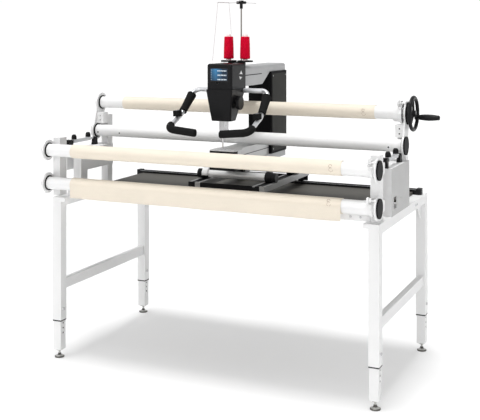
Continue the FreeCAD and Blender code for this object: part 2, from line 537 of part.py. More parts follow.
def leg_insert(side, end):
    """Inner leg tube with lock holes, its end plug, a nut, the stud and the levelling pad."""
    mid_x, mid_y = frame_x(side, "leg_x"), f"({end}) * leg_y"
    half, inner = "insert_side / 2", "insert_side / 2 - insert_wall"
    tube = cut(box((f"{mid_x} - {half}", f"{mid_x} + {half}"), (f"{mid_y} - {half}", f"{mid_y} + {half}"),
                   ("insert_bottom", "insert_top")),
               box((f"{mid_x} - ({inner})", f"{mid_x} + {inner}"),
                   (f"{mid_y} - ({inner})", f"{mid_y} + {inner}"),
                   ("insert_bottom - overrun", "insert_top + overrun")))
    holes = [rod("X", "lock_hole_r", (f"{mid_x} + {inner} - overrun", mid_y,
                                      f"leg_bottom - lock_hole_drop - {row} * lock_hole_pitch"),
                 "insert_wall + 2 * overrun") for row in range(SIZES["lock_hole_count"])]
    tube = cut(tube, *holes)
    bore = "insert_bottom - plug_flange"
    plug = join(box((f"{mid_x} - ({inner})", f"{mid_x} + {inner}"),
                    (f"{mid_y} - ({inner})", f"{mid_y} + {inner}"),
                    ("insert_bottom", "insert_bottom + plug_height")),
                cone("Z", f"{half} - plug_draw_in", half, (mid_x, mid_y, bore), "plug_flange"))
    plug = cut(plug, rod("Z", "stud_r", (mid_x, mid_y, f"{bore} - overrun"), "plug_height + 3 * plug_flange"))
    pad_profile = [("0", "0"), ("pad_r", "0"), ("pad_r", "pad_rim"), ("pad_neck_r", "pad_height"),
                   ("stud_r", "pad_height"), ("stud_r", "pad_rim"), ("0", "pad_rim")]
    foot = turned("Z", pad_profile, (mid_x, mid_y, "0"))
    stud = rod("Z", "stud_r", (mid_x, mid_y, "pad_rim"), "stud_length")
    nut = cut(prism("nut_r", (mid_x, mid_y, "pad_height"), "nut_height"),
              rod("Z", "stud_r", (mid_x, mid_y, "pad_rim"), "stud_length"))
    return group(tube, plug, foot, stud, nut)


def prism(radius, start, length):
    """Six-sided bar standing along Z."""
    obj = doc.addObject("Part::Prism", fresh("prism"))
    obj.Polygon = 6
    bind(obj, Circumradius=radius, Height=length)
    return put(obj, *start)


def bolt(axis, start, sign, radius="bolt_head_r", height="bolt_head_height"):
    """Button head resting on a face, rising from it along an axis."""
    x, y, z = start
    if sign < 0:
        shift = {"X": (f"{x} - {height}", y, z), "Y": (x, f"{y} - {height}", z),
                 "Z": (x, y, f"{z} - {height}")}
        return cone(axis, f"{radius} * bolt_crown_share", radius, shift[axis], height)
    return cone(axis, radius, f"{radius} * bolt_crown_share", (x, y, z), height)


def frame_bolts():
    """Bolt heads that show on the legs, rails, beams and splice."""
    heads = []
    outer = "leg_x + leg_side / 2"
    for side in (-1, 1):
        for end in (-1, 1):
            mid_y = f"({end}) * leg_y"
            heads.append(bolt("X", (f"{frame_x(side, 'leg_x')} + leg_side / 2", mid_y, "lock_bolt_z"), 1,
                              "lock_bolt_r", "lock_bolt_height"))
        for row in (-1, 1):
            heads.append(bolt("X", (frame_x(side, outer), f"leg_y / 2 + {row} * splice_pitch",
                                    "leg_top - rail_height / 2"), side))
        heads.append(bolt("Y", (frame_x(side, "table_edge_x - beam_bolt_inset"), "front_beam_y",
                                "leg_top + beam_height / 2"), -1))
        heads.append(bolt("Y", (frame_x(side, "table_edge_x - 2 * beam_bolt_inset"), "front_beam_y",
                                "leg_top + beam_height / 2"), -1))
    return group(*heads)


# Consoles, posts and pole plates.

def mirror_x(side, offset):
    """Place across the frame measured from the middle of the poles."""
    return f"pole_line_x + ({side}) * ({offset})"


def pole_span(side, near, far):
    """Limits across the frame between two distances from the middle of the poles."""
    low, high = (near, far) if side > 0 else (far, near)
    return mirror_x(side, low), mirror_x(side, high)


def console_side():
    """Outer side sheet of the right console with its window at the foot and a round hole."""
    front, rear = "console_front_y", "rear_post_y"
    bottom, top = "leg_top + foot_plate", "console_top"
    window_front = f"{front} + window_inset + console_nose - window_width"
    window_low = f"{bottom} + window_rise"
    sheet = pad("YZ_Plane", [(front, bottom), (rear, bottom), (rear, top), (front, top)],
                (mirror_x(1, "console_outer - sheet_thick"), "0", "0"), "sheet_thick")
    across = pole_span(1, "console_outer - sheet_thick - overrun", "console_outer + overrun")
    window = box(across, (window_front, f"{window_front} + window_width"),
                 (window_low, f"{window_low} + window_height"))
    hole = rod("X", "panel_hole_r", (across[0], f"{window_front} + window_width + panel_hole_inset",
                                     f"{window_low} + window_height - panel_hole_drop"),
               "sheet_thick + 2 * overrun")
    return cut(sheet, window, hole)


def console(side):
    """Sheet metal console: column in front, side sheets, top fold and foot flange."""
    bottom, top = "leg_top + foot_plate", "console_top"
    outer, inner = "console_outer", "console_outer - console_width"
    column_rear = "console_front_y + console_nose"
    pieces = [box(pole_span(side, inner, f"{inner} + column_width"), ("console_front_y", column_rear),
                  (bottom, top))]
    pieces.append(box(pole_span(side, inner, f"{inner} + sheet_thick"), (column_rear, "rear_post_y"),
                      ("console_skirt", top)))
    pieces.append(box(pole_span(side, inner, outer), ("console_front_y", "rear_post_y"),
                      ("console_top - sheet_thick", "console_top")))
    pieces.append(box(pole_span(side, inner, outer), ("console_front_y", "rear_post_y"), ("leg_top", bottom)))
    if side > 0:
        pieces.append(console_side())
        pieces.append(box(pole_span(side, inner, outer), ("console_front_y", "console_front_y + sheet_thick"),
                          (bottom, top)))
    else:
        pieces.append(box(pole_span(side, f"{outer} - sheet_thick", outer), ("console_front_y", "rear_post_y"),
                          ("console_skirt", top)))
    return join(*pieces)


def pole_posts():
    """Square posts that carry the pole plates, with the box arm for the idler pole."""
    pieces = []
    for side in (-1, 1):
        across = pole_span(side, "post_half_span - post_width / 2", "plate_inner")
        front = box(across, ("front_post_y", "front_post_y + post_depth"), ("leg_top", "post_top"))
        rear = box(across, ("rear_post_y", "rear_post_y + rear_post_depth"), ("leg_top", "rear_post_top"))
        arm = box(across, ("arm_front_y", "rear_post_y"), ("arm_bottom", "arm_top"))
        holes = [rod("Y", "arm_hole_r", (mirror_x(side, "post_half_span"), "arm_front_y - overrun",
                                         f"(arm_bottom + arm_top) / 2 + {step} * 3 * arm_hole_r"),
                     "post_depth / 3") for step in (-1, 1)]
        pieces.append(front)
        pieces.append(cut(join(rear, arm), *holes))
    return group(*pieces)


def lug(side, y, z):
    """Rounded ear of the right-hand plate behind the pawl pin, with the pin itself."""
    if side < 0:
        return []
    centre = (f"{y} + pawl_pin_y", f"{z} + pawl_pin_z")
    return [rod("X", "pawl_lug_r", ("right_plate_x", *centre), "plate_thick"),
            rod("X", "pawl_pin_r", ("ratchet_x", *centre), "right_plate_x + plate_thick - ratchet_x")]


def round_with_tail(side, y, z, radius, tail_y, tail_low, tail_high):
    """Round pole plate that runs back in a tail to its post."""
    x = mirror_x(side, "plate_outer") if side < 0 else mirror_x(side, "plate_inner")
    disc = rod("X", radius, (x, y, z), "plate_thick")
    tail = pad("YZ_Plane", [(y, f"{z} - {radius} * tail_share"), (tail_y, tail_low), (tail_y, tail_high),
                            (y, f"{z} + {radius} * tail_share")], (x, "0", "0"), "plate_thick")
    bore = rod("X", "bore_r", (f"{x} - overrun", y, z), "plate_thick + 2 * overrun")
    return cut(join(disc, tail, *lug(side, y, z)), bore)


def bearing_plates():
    """White plates at both ends in which the four poles turn."""
    plates = []
    tail = "front_post_y + post_depth"
    for side in (-1, 1):
        for z in ("upper_pole_z", "lower_pole_z"):
            plates.append(round_with_tail(side, "front_pole_y", z, "plate_r", tail, f"{z} - plate_tail / 2",
                                          f"{z} + plate_tail / 2"))
        x = mirror_x(side, "plate_outer") if side < 0 else mirror_x(side, "plate_inner")
        radius = "plate_r" if side < 0 else "take_up_plate_r"
        big = rod("X", radius, (x, "take_up_y", "take_up_z"), "plate_thick")
        small = rod("X", "idler_plate_r", (x, "idler_y", "idler_z"), "plate_thick")
        web = pad("YZ_Plane", [("idler_y - idler_plate_r * tail_share", "idler_z"),
                               ("idler_y + idler_plate_r * tail_share", "idler_z"),
                               ("take_up_y + plate_r * tail_share", "take_up_z"),
                               ("take_up_y - plate_r * tail_share", "take_up_z")],
                  (x, "0", "0"), "plate_thick")
        bores = [rod("X", "bore_r", (f"{x} - overrun", y, z), "plate_thick + 2 * overrun")
                 for y, z in (("take_up_y", "take_up_z"), ("idler_y", "idler_z"))]
        plates.append(cut(join(big, small, web, *lug(side, "take_up_y", "take_up_pawl_z")), *bores))
    return group(*plates)


# Poles, rings, ratchets and pawls.

POLES = {
    "take_up_pole": ("take_up_y", "take_up_z"), "idler_pole": ("idler_y", "idler_z"),
    "upper_front_pole": ("front_pole_y", "upper_pole_z"), "lower_front_pole": ("front_pole_y", "lower_pole_z"),
}


def ratchet_wheel(radius, y, z):
    """Toothed disc just inside the right-hand ring, for the locking pawl."""
    count = SIZES["ratchet_teeth"]
    outline = []
    for step in range(count):
        low = f"{step} * 360 / ratchet_teeth"
        outline.append((f"{radius} * cos({low})", f"{radius} * sin({low})"))
        outline.append((f"({radius} - ratchet_depth) * cos({low} + tooth_face)",
                        f"({radius} - ratchet_depth) * sin({low} + tooth_face)"))
    return pad("YZ_Plane", outline, ("ratchet_x", y, z), "ratchet_thick")


def pole(name):
    """Tube with end plugs and journals; three of them carry a ratchet hub at the right end."""
    y, z = POLES[name]
    top = name == "take_up_pole"
    tube = cut(rod("X", "pole_r", ("pole_left", y, z), "pole_right - pole_left"),
               rod("X", "pole_r - pole_wall", ("pole_left - overrun", y, z),
                   "pole_right - pole_left + 2 * overrun"))
    plug = "pole_plug"
    reach = "plate_thick + pole_clear + journal_over"
    left = join(rod("X", "pole_r - pole_wall", ("pole_left", y, z), plug),
                rod("X", "journal_r", (f"pole_left - ({reach})", y, z), reach))
    right = join(rod("X", "pole_r - pole_wall", (f"pole_right - {plug}", y, z), plug),
                 rod("X", "journal_r", ("pole_right", y, z), reach))
    pieces = [tube, left, right]
    if name != "idler_pole":
        start = ("ratchet_x - ratchet_hub_length", y, z)
        if top:
            hub = cone("X", "take_up_hub_r - hub_flare", "take_up_hub_r", start, "ratchet_hub_length")
        else:
            hub = rod("X", "ratchet_hub_r", start, "ratchet_hub_length")
        sleeve = join(hub, ratchet_wheel("take_up_ratchet_r" if top else "ratchet_r", y, z))
        pieces.append(cut(sleeve, rod("X", "pole_r", ("ratchet_x - ratchet_hub_length - overrun", y, z),
                                      "ratchet_hub_length + ratchet_thick + 2 * overrun")))
    if top:
        shaft_from = f"pole_right + {reach}"
        pieces.append(rod("X", "shaft_r", (shaft_from, y, z), f"wheel_x - wheel_hub_length / 2 - ({shaft_from})"))
    return group(*pieces)


def bearing_rings():
    """Black rings on the inner faces of the plates and discs over the journals outside."""
    pieces = []
    for name, (y, z) in POLES.items():
        for side in (-1, 1):
            large = side > 0 and name == "take_up_pole"
            inner_x = "left_plate_x" if side < 0 else "right_plate_x - ring_thick"
            ring = rod("X", "take_up_ring_r" if large else "ring_r", (inner_x, y, z), "ring_thick")
            hole = rod("X", "pole_r + ring_gap", (f"{inner_x} - overrun", y, z), "ring_thick + 2 * overrun")
            pieces.append(cut(ring, hole))
            thick = "outer_cap_thick" if side < 0 else "cap_thick"
            radius = "outer_cap_r" if side < 0 else "take_up_cap_r" if large else "cap_r"
            cap_x = f"left_plate_x - plate_thick - {thick}" if side < 0 else "right_plate_x + plate_thick"
            cap = rod("X", radius, (cap_x, y, z), thick)
            depth_from = f"{cap_x} - overrun" if side > 0 else f"{cap_x} + {thick} - cap_pocket"
            depth = f"{thick} + 2 * overrun" if large else "cap_pocket + overrun"
            pieces.append(cut(cap, rod("X", "journal_r + cap_bore_gap", (depth_from, y, z), depth)))
    return group(*pieces)


def pawl(y, z):
    """Flat pawl with a thumb tab and a round knob, bored for its pin and lifted clear of the teeth."""
    points = [(f"{across} * ratchet_r - pawl_pin_y", f"{up} * ratchet_r - pawl_pin_z")
              for across, up in PAWL_SHARES]
    centre = (f"{y} + pawl_pin_y", f"{z} + pawl_pin_z")
    body = pad("YZ_Plane", points, ("ratchet_x + pawl_inset", *centre), "pawl_thick",
               [("0", "0", "pawl_pin_r + pin_gap")])
    body.Placement.Rotation = FreeCAD.Rotation(FreeCAD.Vector(1, 0, 0), size("pawl_lift"))
    inner = "ratchet_x - pawl_knob_gap"
    boss = cut(rod("X", "pawl_boss_r", (inner, *centre), "pawl_knob_gap + pawl_inset"),
               rod("X", "pawl_pin_r + pin_gap", (inner, *centre), "pawl_knob_gap + pawl_inset + overrun"))
    knob = rod("X", "pawl_knob_r", (f"{inner} - pawl_knob_thick", *centre), "pawl_knob_thick")
    return join(body, boss, knob)


# Clamp rods.

def clamp_rods():
    """Round side rods between a block in front and a sloped foot at the rear, on the consoles."""
    pieces = []
    for side in (-1, 1):
        x = mirror_x(side, "clamp_rod_offset")
        half = "clamp_block / 2"
        across = (f"{x} - clamp_foot_half", f"{x} + clamp_foot_half")
        block = box((f"{x} - {half}", f"{x} + {half}"), ("clamp_rod_front - clamp_block", "clamp_rod_front"),
                    (f"clamp_rod_z - {half}", f"clamp_rod_z + {half}"))
        bar = rod("Y", "clamp_rod_r", (x, f"clamp_rod_front - {half}", "clamp_rod_z"),
                  f"clamp_rod_rear - clamp_rod_front + {half}")
        front = box(across, ("clamp_rod_front", "console_front_y + clamp_block / 3 + sheet_thick"),
                    ("console_top", "clamp_rod_z + clamp_rod_r + clamp_foot_over"))
        low, high = "clamp_rod_rear + clamp_foot_rear - clamp_foot_length", "clamp_rod_rear + clamp_foot_rear"
        top = "clamp_rod_z + clamp_foot_over"
        rear = pad("YZ_Plane", [(low, "console_top"), (high, "console_top"), (f"{high} - clamp_foot_slope", top),
                                (f"{low} + clamp_foot_slope", top)], (across[0], "0", "0"), "2 * clamp_foot_half")
        pieces.append(join(block, bar, front, rear))
    return group(*pieces)


def clamp_slider(side):
    """Pair of knobs on a sleeve that slides along one side rod."""
    x = mirror_x(side, "clamp_rod_offset")
    half = "slider_half"
    middle = "slider_y"
    sleeve = box((f"{x} - {half}", f"{x} + {half}"),
                 (f"{middle} - slider_spacing / 2 - slider_length / 2",
                  f"{middle} + slider_spacing / 2 + slider_length / 2"),
                 ("clamp_rod_z - slider_drop", "clamp_rod_z + slider_drop"))
    bore = rod("Y", "clamp_rod_r + pin_gap", (x, f"{middle} - slider_spacing - slider_length", "clamp_rod_z"),
               "2 * (slider_spacing + slider_length)")
    knobs = [turned("Z", [("0", "0"), ("knob_r", "0"), ("knob_r", "knob_height / 2"),
                          ("knob_r * dome_share", "knob_height * crown_share"),
                          ("knob_r / 2", "knob_height"), ("0", "knob_height")],
                    (x, f"{middle} + {row} * slider_spacing / 2", "clamp_rod_z + slider_drop"))
             for row in (-1, 1)]
    return group(cut(sleeve, bore), *knobs)


# Leader cloths.

ROLL_LAYERS = {"take_up_pole": (0, 3), "upper_front_pole": (2, 0), "lower_front_pole": (5, 5)}


def leader(name):
    """Cloth wound on a pole, a little uneven at its outer turn."""
    y, z = POLES[name]
    left_step, right_step = ROLL_LAYERS[name]
    inner = size("pole_r") + size("layer_gap")
    outer = size("roll_r")
    turns = SIZES["roll_facets"]
    points = []
    for step in range(turns + 1):
        share = step / turns
        angle = 2 * math.pi * share
        radius = outer - size("layer_step") * (1 - share)
        points.append(FreeCAD.Vector(0, radius * math.cos(angle), radius * math.sin(angle)))
    curve = Part.BSplineCurve()
    curve.interpolate(points)
    edge = Part.LineSegment(points[-1], points[0]).toShape()
    face = Part.Face(Part.Wire([curve.toShape(), edge]))
    left = size("cloth_left") - left_step
    length = size("cloth_right") + right_step - left
    solid = face.extrude(FreeCAD.Vector(length, 0, 0))
    solid.translate(FreeCAD.Vector(left, size(y), size(z)))
    hole = Part.makeCylinder(inner, length + 2 * size("overrun"),
                             FreeCAD.Vector(left - size("overrun"), size(y), size(z)), FreeCAD.Vector(1, 0, 0))
    return moved(solid.cut(hole))


def hanging_leader():
    """Loose end of the lower cloth, hanging in soft waves in front of its roll."""
    steps = SIZES["flap_steps"]
    left, right = size("cloth_left"), size("cloth_right")
    thick = size("flap_thick")
    front = size("front_pole_y") - size("roll_r") - size("flap_gap")
    sections = []
    rows = SIZES["flap_rows"]
    top = size("lower_pole_z") + size("flap_rise")
    bottom = size("flap_bottom")
    for row in range(rows + 1):
        share = row / rows
        z = top + (bottom - top) * share
        sway = size("flap_wave") * share
        near, far = [], []
        for step in range(steps + 1):
            x = left + (right - left) * step / steps
            wave = sway * math.sin(2 * math.pi * SIZES["flap_folds"] * step / steps + SIZES["flap_phase"])
            near.append(FreeCAD.Vector(x, front + wave - sway - thick, z))
            far.append(FreeCAD.Vector(x, front + wave - sway, z))
        sections.append((near, far))
    return moved(sheet_between(sections))


def sheet_between(sections):
    """Close a loft through rows of near and far curves."""
    wires = []
    for near, far in sections:
        first, second = Part.BSplineCurve(), Part.BSplineCurve()
        first.interpolate(near)
        second.interpolate(far[::-1])
        ends = [Part.LineSegment(near[-1], far[-1]).toShape(), Part.LineSegment(far[0], near[0]).toShape()]
        wires.append(Part.Wire([first.toShape(), ends[0], second.toShape(), ends[1]]))
    return Part.makeLoft(wires, True, False)


# Handwheel.

def wheel_place(radius, angle):
    """Place on the handwheel at a radius and an angle above level, towards the back."""
    return f"take_up_y + {radius} * cos({angle})", f"take_up_z + {radius} * sin({angle})"


def handwheel():
    """Round rim, hub and spokes, with a boss and pin for the crank grip."""
    centre = ("wheel_x", "take_up_y", "take_up_z")
    rim = doc.addObject("Part::Torus", fresh("rim"))
    bind(rim, Radius1="wheel_r", Radius2="wheel_rim_r")
    put(rim, *centre, axis="X")
    hub = rod("X", "wheel_hub_r", ("wheel_x - wheel_hub_length / 2", *centre[1:]), "wheel_hub_length")
    pieces = [rim, hub]
    for step in range(SIZES["spoke_count"]):
        spoke = rod("Z", "spoke_r", centre, "wheel_r")
        angle = SIZES["crank_angle"] + (step + 1) * 360 / SIZES["spoke_count"] - 90
        spoke.Placement.Rotation = FreeCAD.Rotation(FreeCAD.Vector(1, 0, 0), angle)
        pieces.append(spoke)
    spot = wheel_place("crank_radius", "crank_angle")
    pieces.append(rod("X", "crank_boss_r", ("wheel_x - wheel_rim_r", *spot), "2 * wheel_rim_r"))
    pieces.append(rod("X", "crank_pin_r", ("wheel_x", *spot),
                      "wheel_rim_r + crank_gap + crank_grip_length - crank_tip - crank_gap"))
    return join(*pieces)


def crank_grip():
    """Tapered grip that spins on the crank pin."""
    bore = "crank_pin_r + pin_gap"
    length = "crank_grip_length"
    profile = [("0", length), ("0", f"{length} - crank_tip"), (bore, f"{length} - crank_tip"), (bore, "0"),
               ("crank_neck_r", "0"), ("crank_grip_r", f"{length} * crank_taper_share"),
               ("crank_grip_r", f"{length} - crank_round"), ("crank_grip_r - crank_round", length)]
    spot = wheel_place("crank_radius", "crank_angle")
    return turned("X", profile, ("wheel_x + wheel_rim_r + crank_gap", *spot))


# Carriage.

def carriage_rails():
    """Two grooved rails that run from front to back on the carriage."""
    rails = []
    for side in (-1, 1):
        x = span(side, "carriage_rail_x - carriage_rail_width / 2", "carriage_rail_x + carriage_rail_width / 2")
        bar = box(x, ("carriage_front_y + crossbar_depth", "carriage_rear_y"),
                  ("carriage_rail_bottom", "carriage_rail_top"))
        groove = box(span(side, "carriage_rail_x - groove_width / 2", "carriage_rail_x + groove_width / 2"),
                     ("carriage_front_y", "carriage_rear_y + overrun"),
                     ("carriage_rail_top - groove_depth", "carriage_rail_top + overrun"))
        rails.append(cut(bar, groove))
    return group(*rails)


def carriage_crossbars():
    """Black bars across both rail ends, the rail end caps and the wheel pins."""
    reach = "carriage_rail_x + carriage_rail_width / 2"
    front_y = ("carriage_front_y", "carriage_front_y + crossbar_depth")
    rear_start = "rear_track_y + carriage_wheel_width / 2 + carriage_wheel_gap"
    rear_y = (rear_start, f"{rear_start} + crossbar_depth")
    front = box((f"-({reach})", reach), front_y, ("crossbar_bottom", "carriage_rail_top"))
    rear = box((f"-({reach})", reach), rear_y, ("crossbar_bottom", "carriage_rail_bottom"))
    pins = {-1: [], 1: []}
    for side in (-1, 1):
        x = frame_x(side, "carriage_rail_x")
        pins[-1].append(rod("Y", "carriage_axle_r", (x, front_y[1], "carriage_axle_z"),
                            "carriage_wheel_width + 3 * carriage_wheel_gap"))
        pins[1].append(rod("Y", "carriage_axle_r", (x, f"{rear_start} - carriage_wheel_width", "carriage_axle_z"),
                           "carriage_wheel_width"))
    caps = [box(span(side, "carriage_rail_x - carriage_rail_width / 2", reach),
                ("carriage_rear_y", "carriage_rear_y + rail_cap"), ("carriage_rail_bottom", "carriage_rail_top"))
            for side in (-1, 1)]
    return group(join(front, *pins[-1]), join(rear, *pins[1]), *caps)


def carriage_wheels(side):
    """Front and rear carriage wheel on one side, running in the two tracks."""
    x = frame_x(side, "carriage_rail_x")
    wheels = []
    for middle in ("carriage_front_y + crossbar_depth + carriage_wheel_gap + carriage_wheel_width / 2",
                   "rear_track_y"):
        start = (x, f"{middle} - carriage_wheel_width / 2", "carriage_axle_z")
        disc = rod("Y", "carriage_wheel_r", start, "carriage_wheel_width")
        bore = rod("Y", "carriage_axle_r + pin_gap", (x, f"{middle} - carriage_wheel_width", "carriage_axle_z"),
                   "2 * carriage_wheel_width")
        wheels.append(cut(disc, bore))
    return group(*wheels)


# Machine wheels.

def axle_housings():
    """Silver tubes across the machine with the axle stubs and a hood over the front left wheel."""
    pieces = []
    for y in ("axle_front_y", "axle_rear_y"):
        tube = rod("X", "housing_r", ("-housing_reach", y, "machine_axle_z"), "2 * housing_reach")
        stub = "machine_wheel_x + machine_wheel_width / 2"
        axle = rod("X", "axle_r", (f"-({stub})", y, "machine_axle_z"), f"2 * ({stub})")
        parts = [tube, axle, wheel_hood(y)] if y == "axle_front_y" else [tube, axle]
        pieces.append(join(*parts))
    return group(*pieces)


def wheel_hood(y):
    """Open-bottomed cup over the top of a left machine wheel."""
    radius = "machine_wheel_r + hood_gap"
    outer = "machine_wheel_x + machine_wheel_width / 2 - hood_inset"
    shell = rod("X", f"{radius} + hood_wall", (f"-({outer})", y, "machine_axle_z"),
                f"{outer} - housing_reach")
    inside = rod("X", radius, (f"-({outer}) - overrun", y, "machine_axle_z"),
                 f"{outer} + overrun - housing_reach - hood_wall")
    below = box((f"-({outer}) - overrun", "-housing_reach + overrun"),
                (f"{y} - {radius} - hood_wall - overrun", f"{y} + {radius} + hood_wall + overrun"),
                (f"machine_axle_z - {radius} - hood_wall - overrun", "machine_axle_z - hood_drop"))
    return cut(shell, inside, below)


def machine_wheels(y):
    """Pair of machine wheels with their round hub caps."""
    pieces = []
    for side in (-1, 1):
        low = "machine_wheel_x - machine_wheel_width / 2"
        high = "machine_wheel_x + machine_wheel_width / 2"
        start = low if side > 0 else f"-({high})"
        disc = rod("X", "machine_wheel_r", (start, y, "machine_axle_z"), "machine_wheel_width")
        cap_start = high if side > 0 else f"-({high} + hub_cap_length)"
        cap = rod("X", "hub_cap_r", (cap_start, y, "machine_axle_z"), "hub_cap_length")
        bore_start = f"{low} - overrun" if side > 0 else f"-({high} + running_gap)"
        bore = rod("X", "axle_r + pin_gap", (bore_start, y, "machine_axle_z"),
                   "machine_wheel_width + overrun + running_gap")
        pieces.append(cut(join(disc, cap), bore))
    return group(*pieces)


# Machine body.

def machine_base():
    """Lower casting on two half yokes that bear on the backs of the axle tubes."""
    slab = box(("-base_half", "base_half"), ("base_front_y", "column_rear_y"), ("base_bottom", "base_top"))
    pieces = [slab]
    for y in ("axle_front_y", "axle_rear_y"):
        pieces.append(box(("-yoke_half", "yoke_half"),
                          (y, f"{y} + housing_r + yoke_wall"),
                          ("machine_axle_z", "base_bottom")))
    tools = [rod("X", "housing_r", ("-housing_reach", y, "machine_axle_z"), "2 * housing_reach")
             for y in ("axle_front_y", "axle_rear_y")]
    return cut(join(*pieces), *tools)


def bed_arm():
    """Lower arm with its deep front, flared plan and the pocket for the needle plate."""
    side = pad("YZ_Plane", [("bed_front_y", "bed_toe_z"), ("base_front_y", "bed_toe_z"),
                            ("base_front_y", "base_top"), ("column_front_y", "base_top"),
                            ("column_front_y", "bed_top"), ("bed_front_y", "bed_top")],
               ("-bed_half", "0", "0"), "2 * bed_half")
    plan = pad("XY_Plane", [("-bed_half", "bed_front_y"), ("bed_half", "bed_front_y"),
                            ("bed_half", "bed_flare_y"), ("bed_neck_half", "bed_flare_y + bed_nose"),
                            ("bed_neck_half", "column_front_y"), ("-bed_neck_half", "column_front_y"),
                            ("-bed_neck_half", "bed_flare_y + bed_nose"), ("-bed_half", "bed_flare_y")],
               ("0", "0", "base_bottom"), "bed_top - base_bottom")
    body = doc.addObject("Part::MultiCommon", fresh("common"))
    body.Shapes = [side, plan]
    corners = round_edges(body, "bed_corner", lambda edge: along(edge, "Z") and is_front(edge))
    plate = plate_limits("plate_seat")
    pocket = box(plate[0], plate[1], ("bed_top - needle_plate_thick", "bed_top + overrun"))
    well = rod("Z", "needle_hole_r", ("0", "needle_y", "bed_top - needle_plate_thick - needle_well"),
               "needle_well + needle_plate_thick")
    return cut(corners, pocket, well)


def is_front(edge):
    """Tell whether an edge lies at the very front of the bed."""
    return edge.BoundBox.YMax < size("bed_front_y - origin_y + bed_nose / 2")


def plate_limits(gap):
    """Needle plate limits, grown by a gap on each side."""
    return ((f"-needle_plate_width / 2 - {gap}", f"needle_plate_width / 2 + {gap}"),
            (f"needle_y - needle_plate_depth / 2 - {gap}", f"needle_y + needle_plate_depth / 2 + {gap}"))


def needle_plate():
    """Bright plate let into the bed, with the needle hole."""
    x, y = plate_limits("0")
    plate = box(x, y, ("bed_top - needle_plate_thick", "bed_top"))
    return cut(plate, rod("Z", "needle_hole_r", ("0", "needle_y", "bed_top - 2 * needle_plate_thick"),
                          "3 * needle_plate_thick"))


def column_cover():
    """Hollow cover of the upright at the back, with side panels, vents and screws."""
    x, y = ("-column_half", "column_half"), ("column_front_y", "column_rear_y")
    shell = round_edges(box(x, y, ("base_top", "column_top")), "cover_round", lambda edge: along(edge, "Z"))
    hollow = box((f"{x[0]} + cover_wall", f"{x[1]} - cover_wall"),
                 (f"{y[0]} + cover_wall", f"{y[1]} - cover_wall"),
                 ("base_top - overrun", "column_top - cover_wall"))
    pieces = [cut(shell, hollow)]
    for side in (-1, 1):
        panel = box(span(side, "column_half", "column_half + panel_proud"),
                    ("column_front_y + panel_inset", "column_rear_y - panel_inset"),
                    ("base_top + panel_inset", "column_top - panel_inset"))
        pieces.append(panel)
        for y_end in ("column_front_y + 2 * panel_inset", "column_rear_y - 2 * panel_inset"):
            for z_end in ("base_top + 2 * panel_inset", "(base_top + column_top) / 2",
                          "column_top - 2 * panel_inset"):
                pieces.append(bolt("X", (frame_x(side, "(column_half + panel_proud)"), y_end, z_end), side,
                                   "screw_r", "screw_height"))
    return group(*pieces)


def arm_casting():
    """Upper arm with rounded top edges, a seam line along each side and a raised spine."""
    profile = [("head_rear_y", "arm_underside"), ("arm_rise_y", "arm_underside"), ("column_front_y", "column_top"),
               ("column_rear_y", "column_top"), ("column_rear_y", "arm_crown"), ("head_rear_y", "arm_crown")]
    body = pad("YZ_Plane", profile, ("-arm_half", "0", "0"), "2 * arm_half")
    crown = round_edges(body, "arm_round", lambda edge: along(edge, "Y")
                        and edge.BoundBox.ZMin > size("arm_crown - bolt_head_r"))
    seams = [box(span(side, "arm_half - arm_seam / 2", "arm_half + overrun"),
                 ("head_rear_y + 2 * arm_seam", "arm_seam_rear"),
                 ("arm_seam_z - arm_seam / 2", "arm_seam_z + arm_seam / 2")) for side in (-1, 1)]
    return cut(crown, *seams)


def head_cover():
    """Black square cover at the front of the arm, with a shallow seat for the touchscreen."""
    block = box(("-head_half", "head_half"), ("head_front_y", "head_rear_y"), ("head_seam", "head_top"))
    limit = size("head_seam") + size("overrun")
    rear = size("head_rear_y - origin_y") - size("overrun")
    shell = round_edges(block, "head_round", lambda edge: edge.BoundBox.ZMax > limit
                        and edge.BoundBox.YMin < rear)
    seat = box(("-screen_half - screen_seat", "screen_half + screen_seat"),
               ("head_front_y - overrun", "head_front_y + screen_thick - screen_proud"),
               ("screen_bottom - screen_seat", "screen_top + screen_seat"))
    return cut(shell, seat)


def touchscreen():
    """Flat screen set in the head cover's front."""
    return box(("-screen_half", "screen_half"),
               ("head_front_y - screen_proud", "head_front_y + screen_thick - screen_proud"),
               ("screen_bottom", "screen_top"))


def rounded_rectangle(half, front, rear, z, radius):
    """Closed outline of a rounded rectangle at one height."""
    vector = FreeCAD.Vector
    corners = [(half, rear, 0), (-half, rear, 90), (-half, front, 180), (half, front, 270)]
    edges, last, first = [], None, None
    for x, y, start in corners:
        inward_x, inward_y = math.copysign(radius, -x), math.copysign(radius, (front + rear) / 2 - y)
        centre = vector(x + inward_x, y + inward_y, z)
        arc = Part.Circle(centre, vector(0, 0, 1), radius)
        edge = Part.Arc(arc, math.radians(start), math.radians(start + 90)).toShape()
        begin, end = edge.Vertexes[0].Point, edge.Vertexes[-1].Point
        if last is not None:
            edges.append(Part.LineSegment(last, begin).toShape())
        else:
            first = begin
        edges.append(edge)
        last = end
    edges.append(Part.LineSegment(last, first).toShape())
    return Part.Wire(edges)


def upright(radius, x, y, low, high):
    """Plain round bar shape along Z."""
    return Part.makeCylinder(radius, high - low, FreeCAD.Vector(x, y, low))


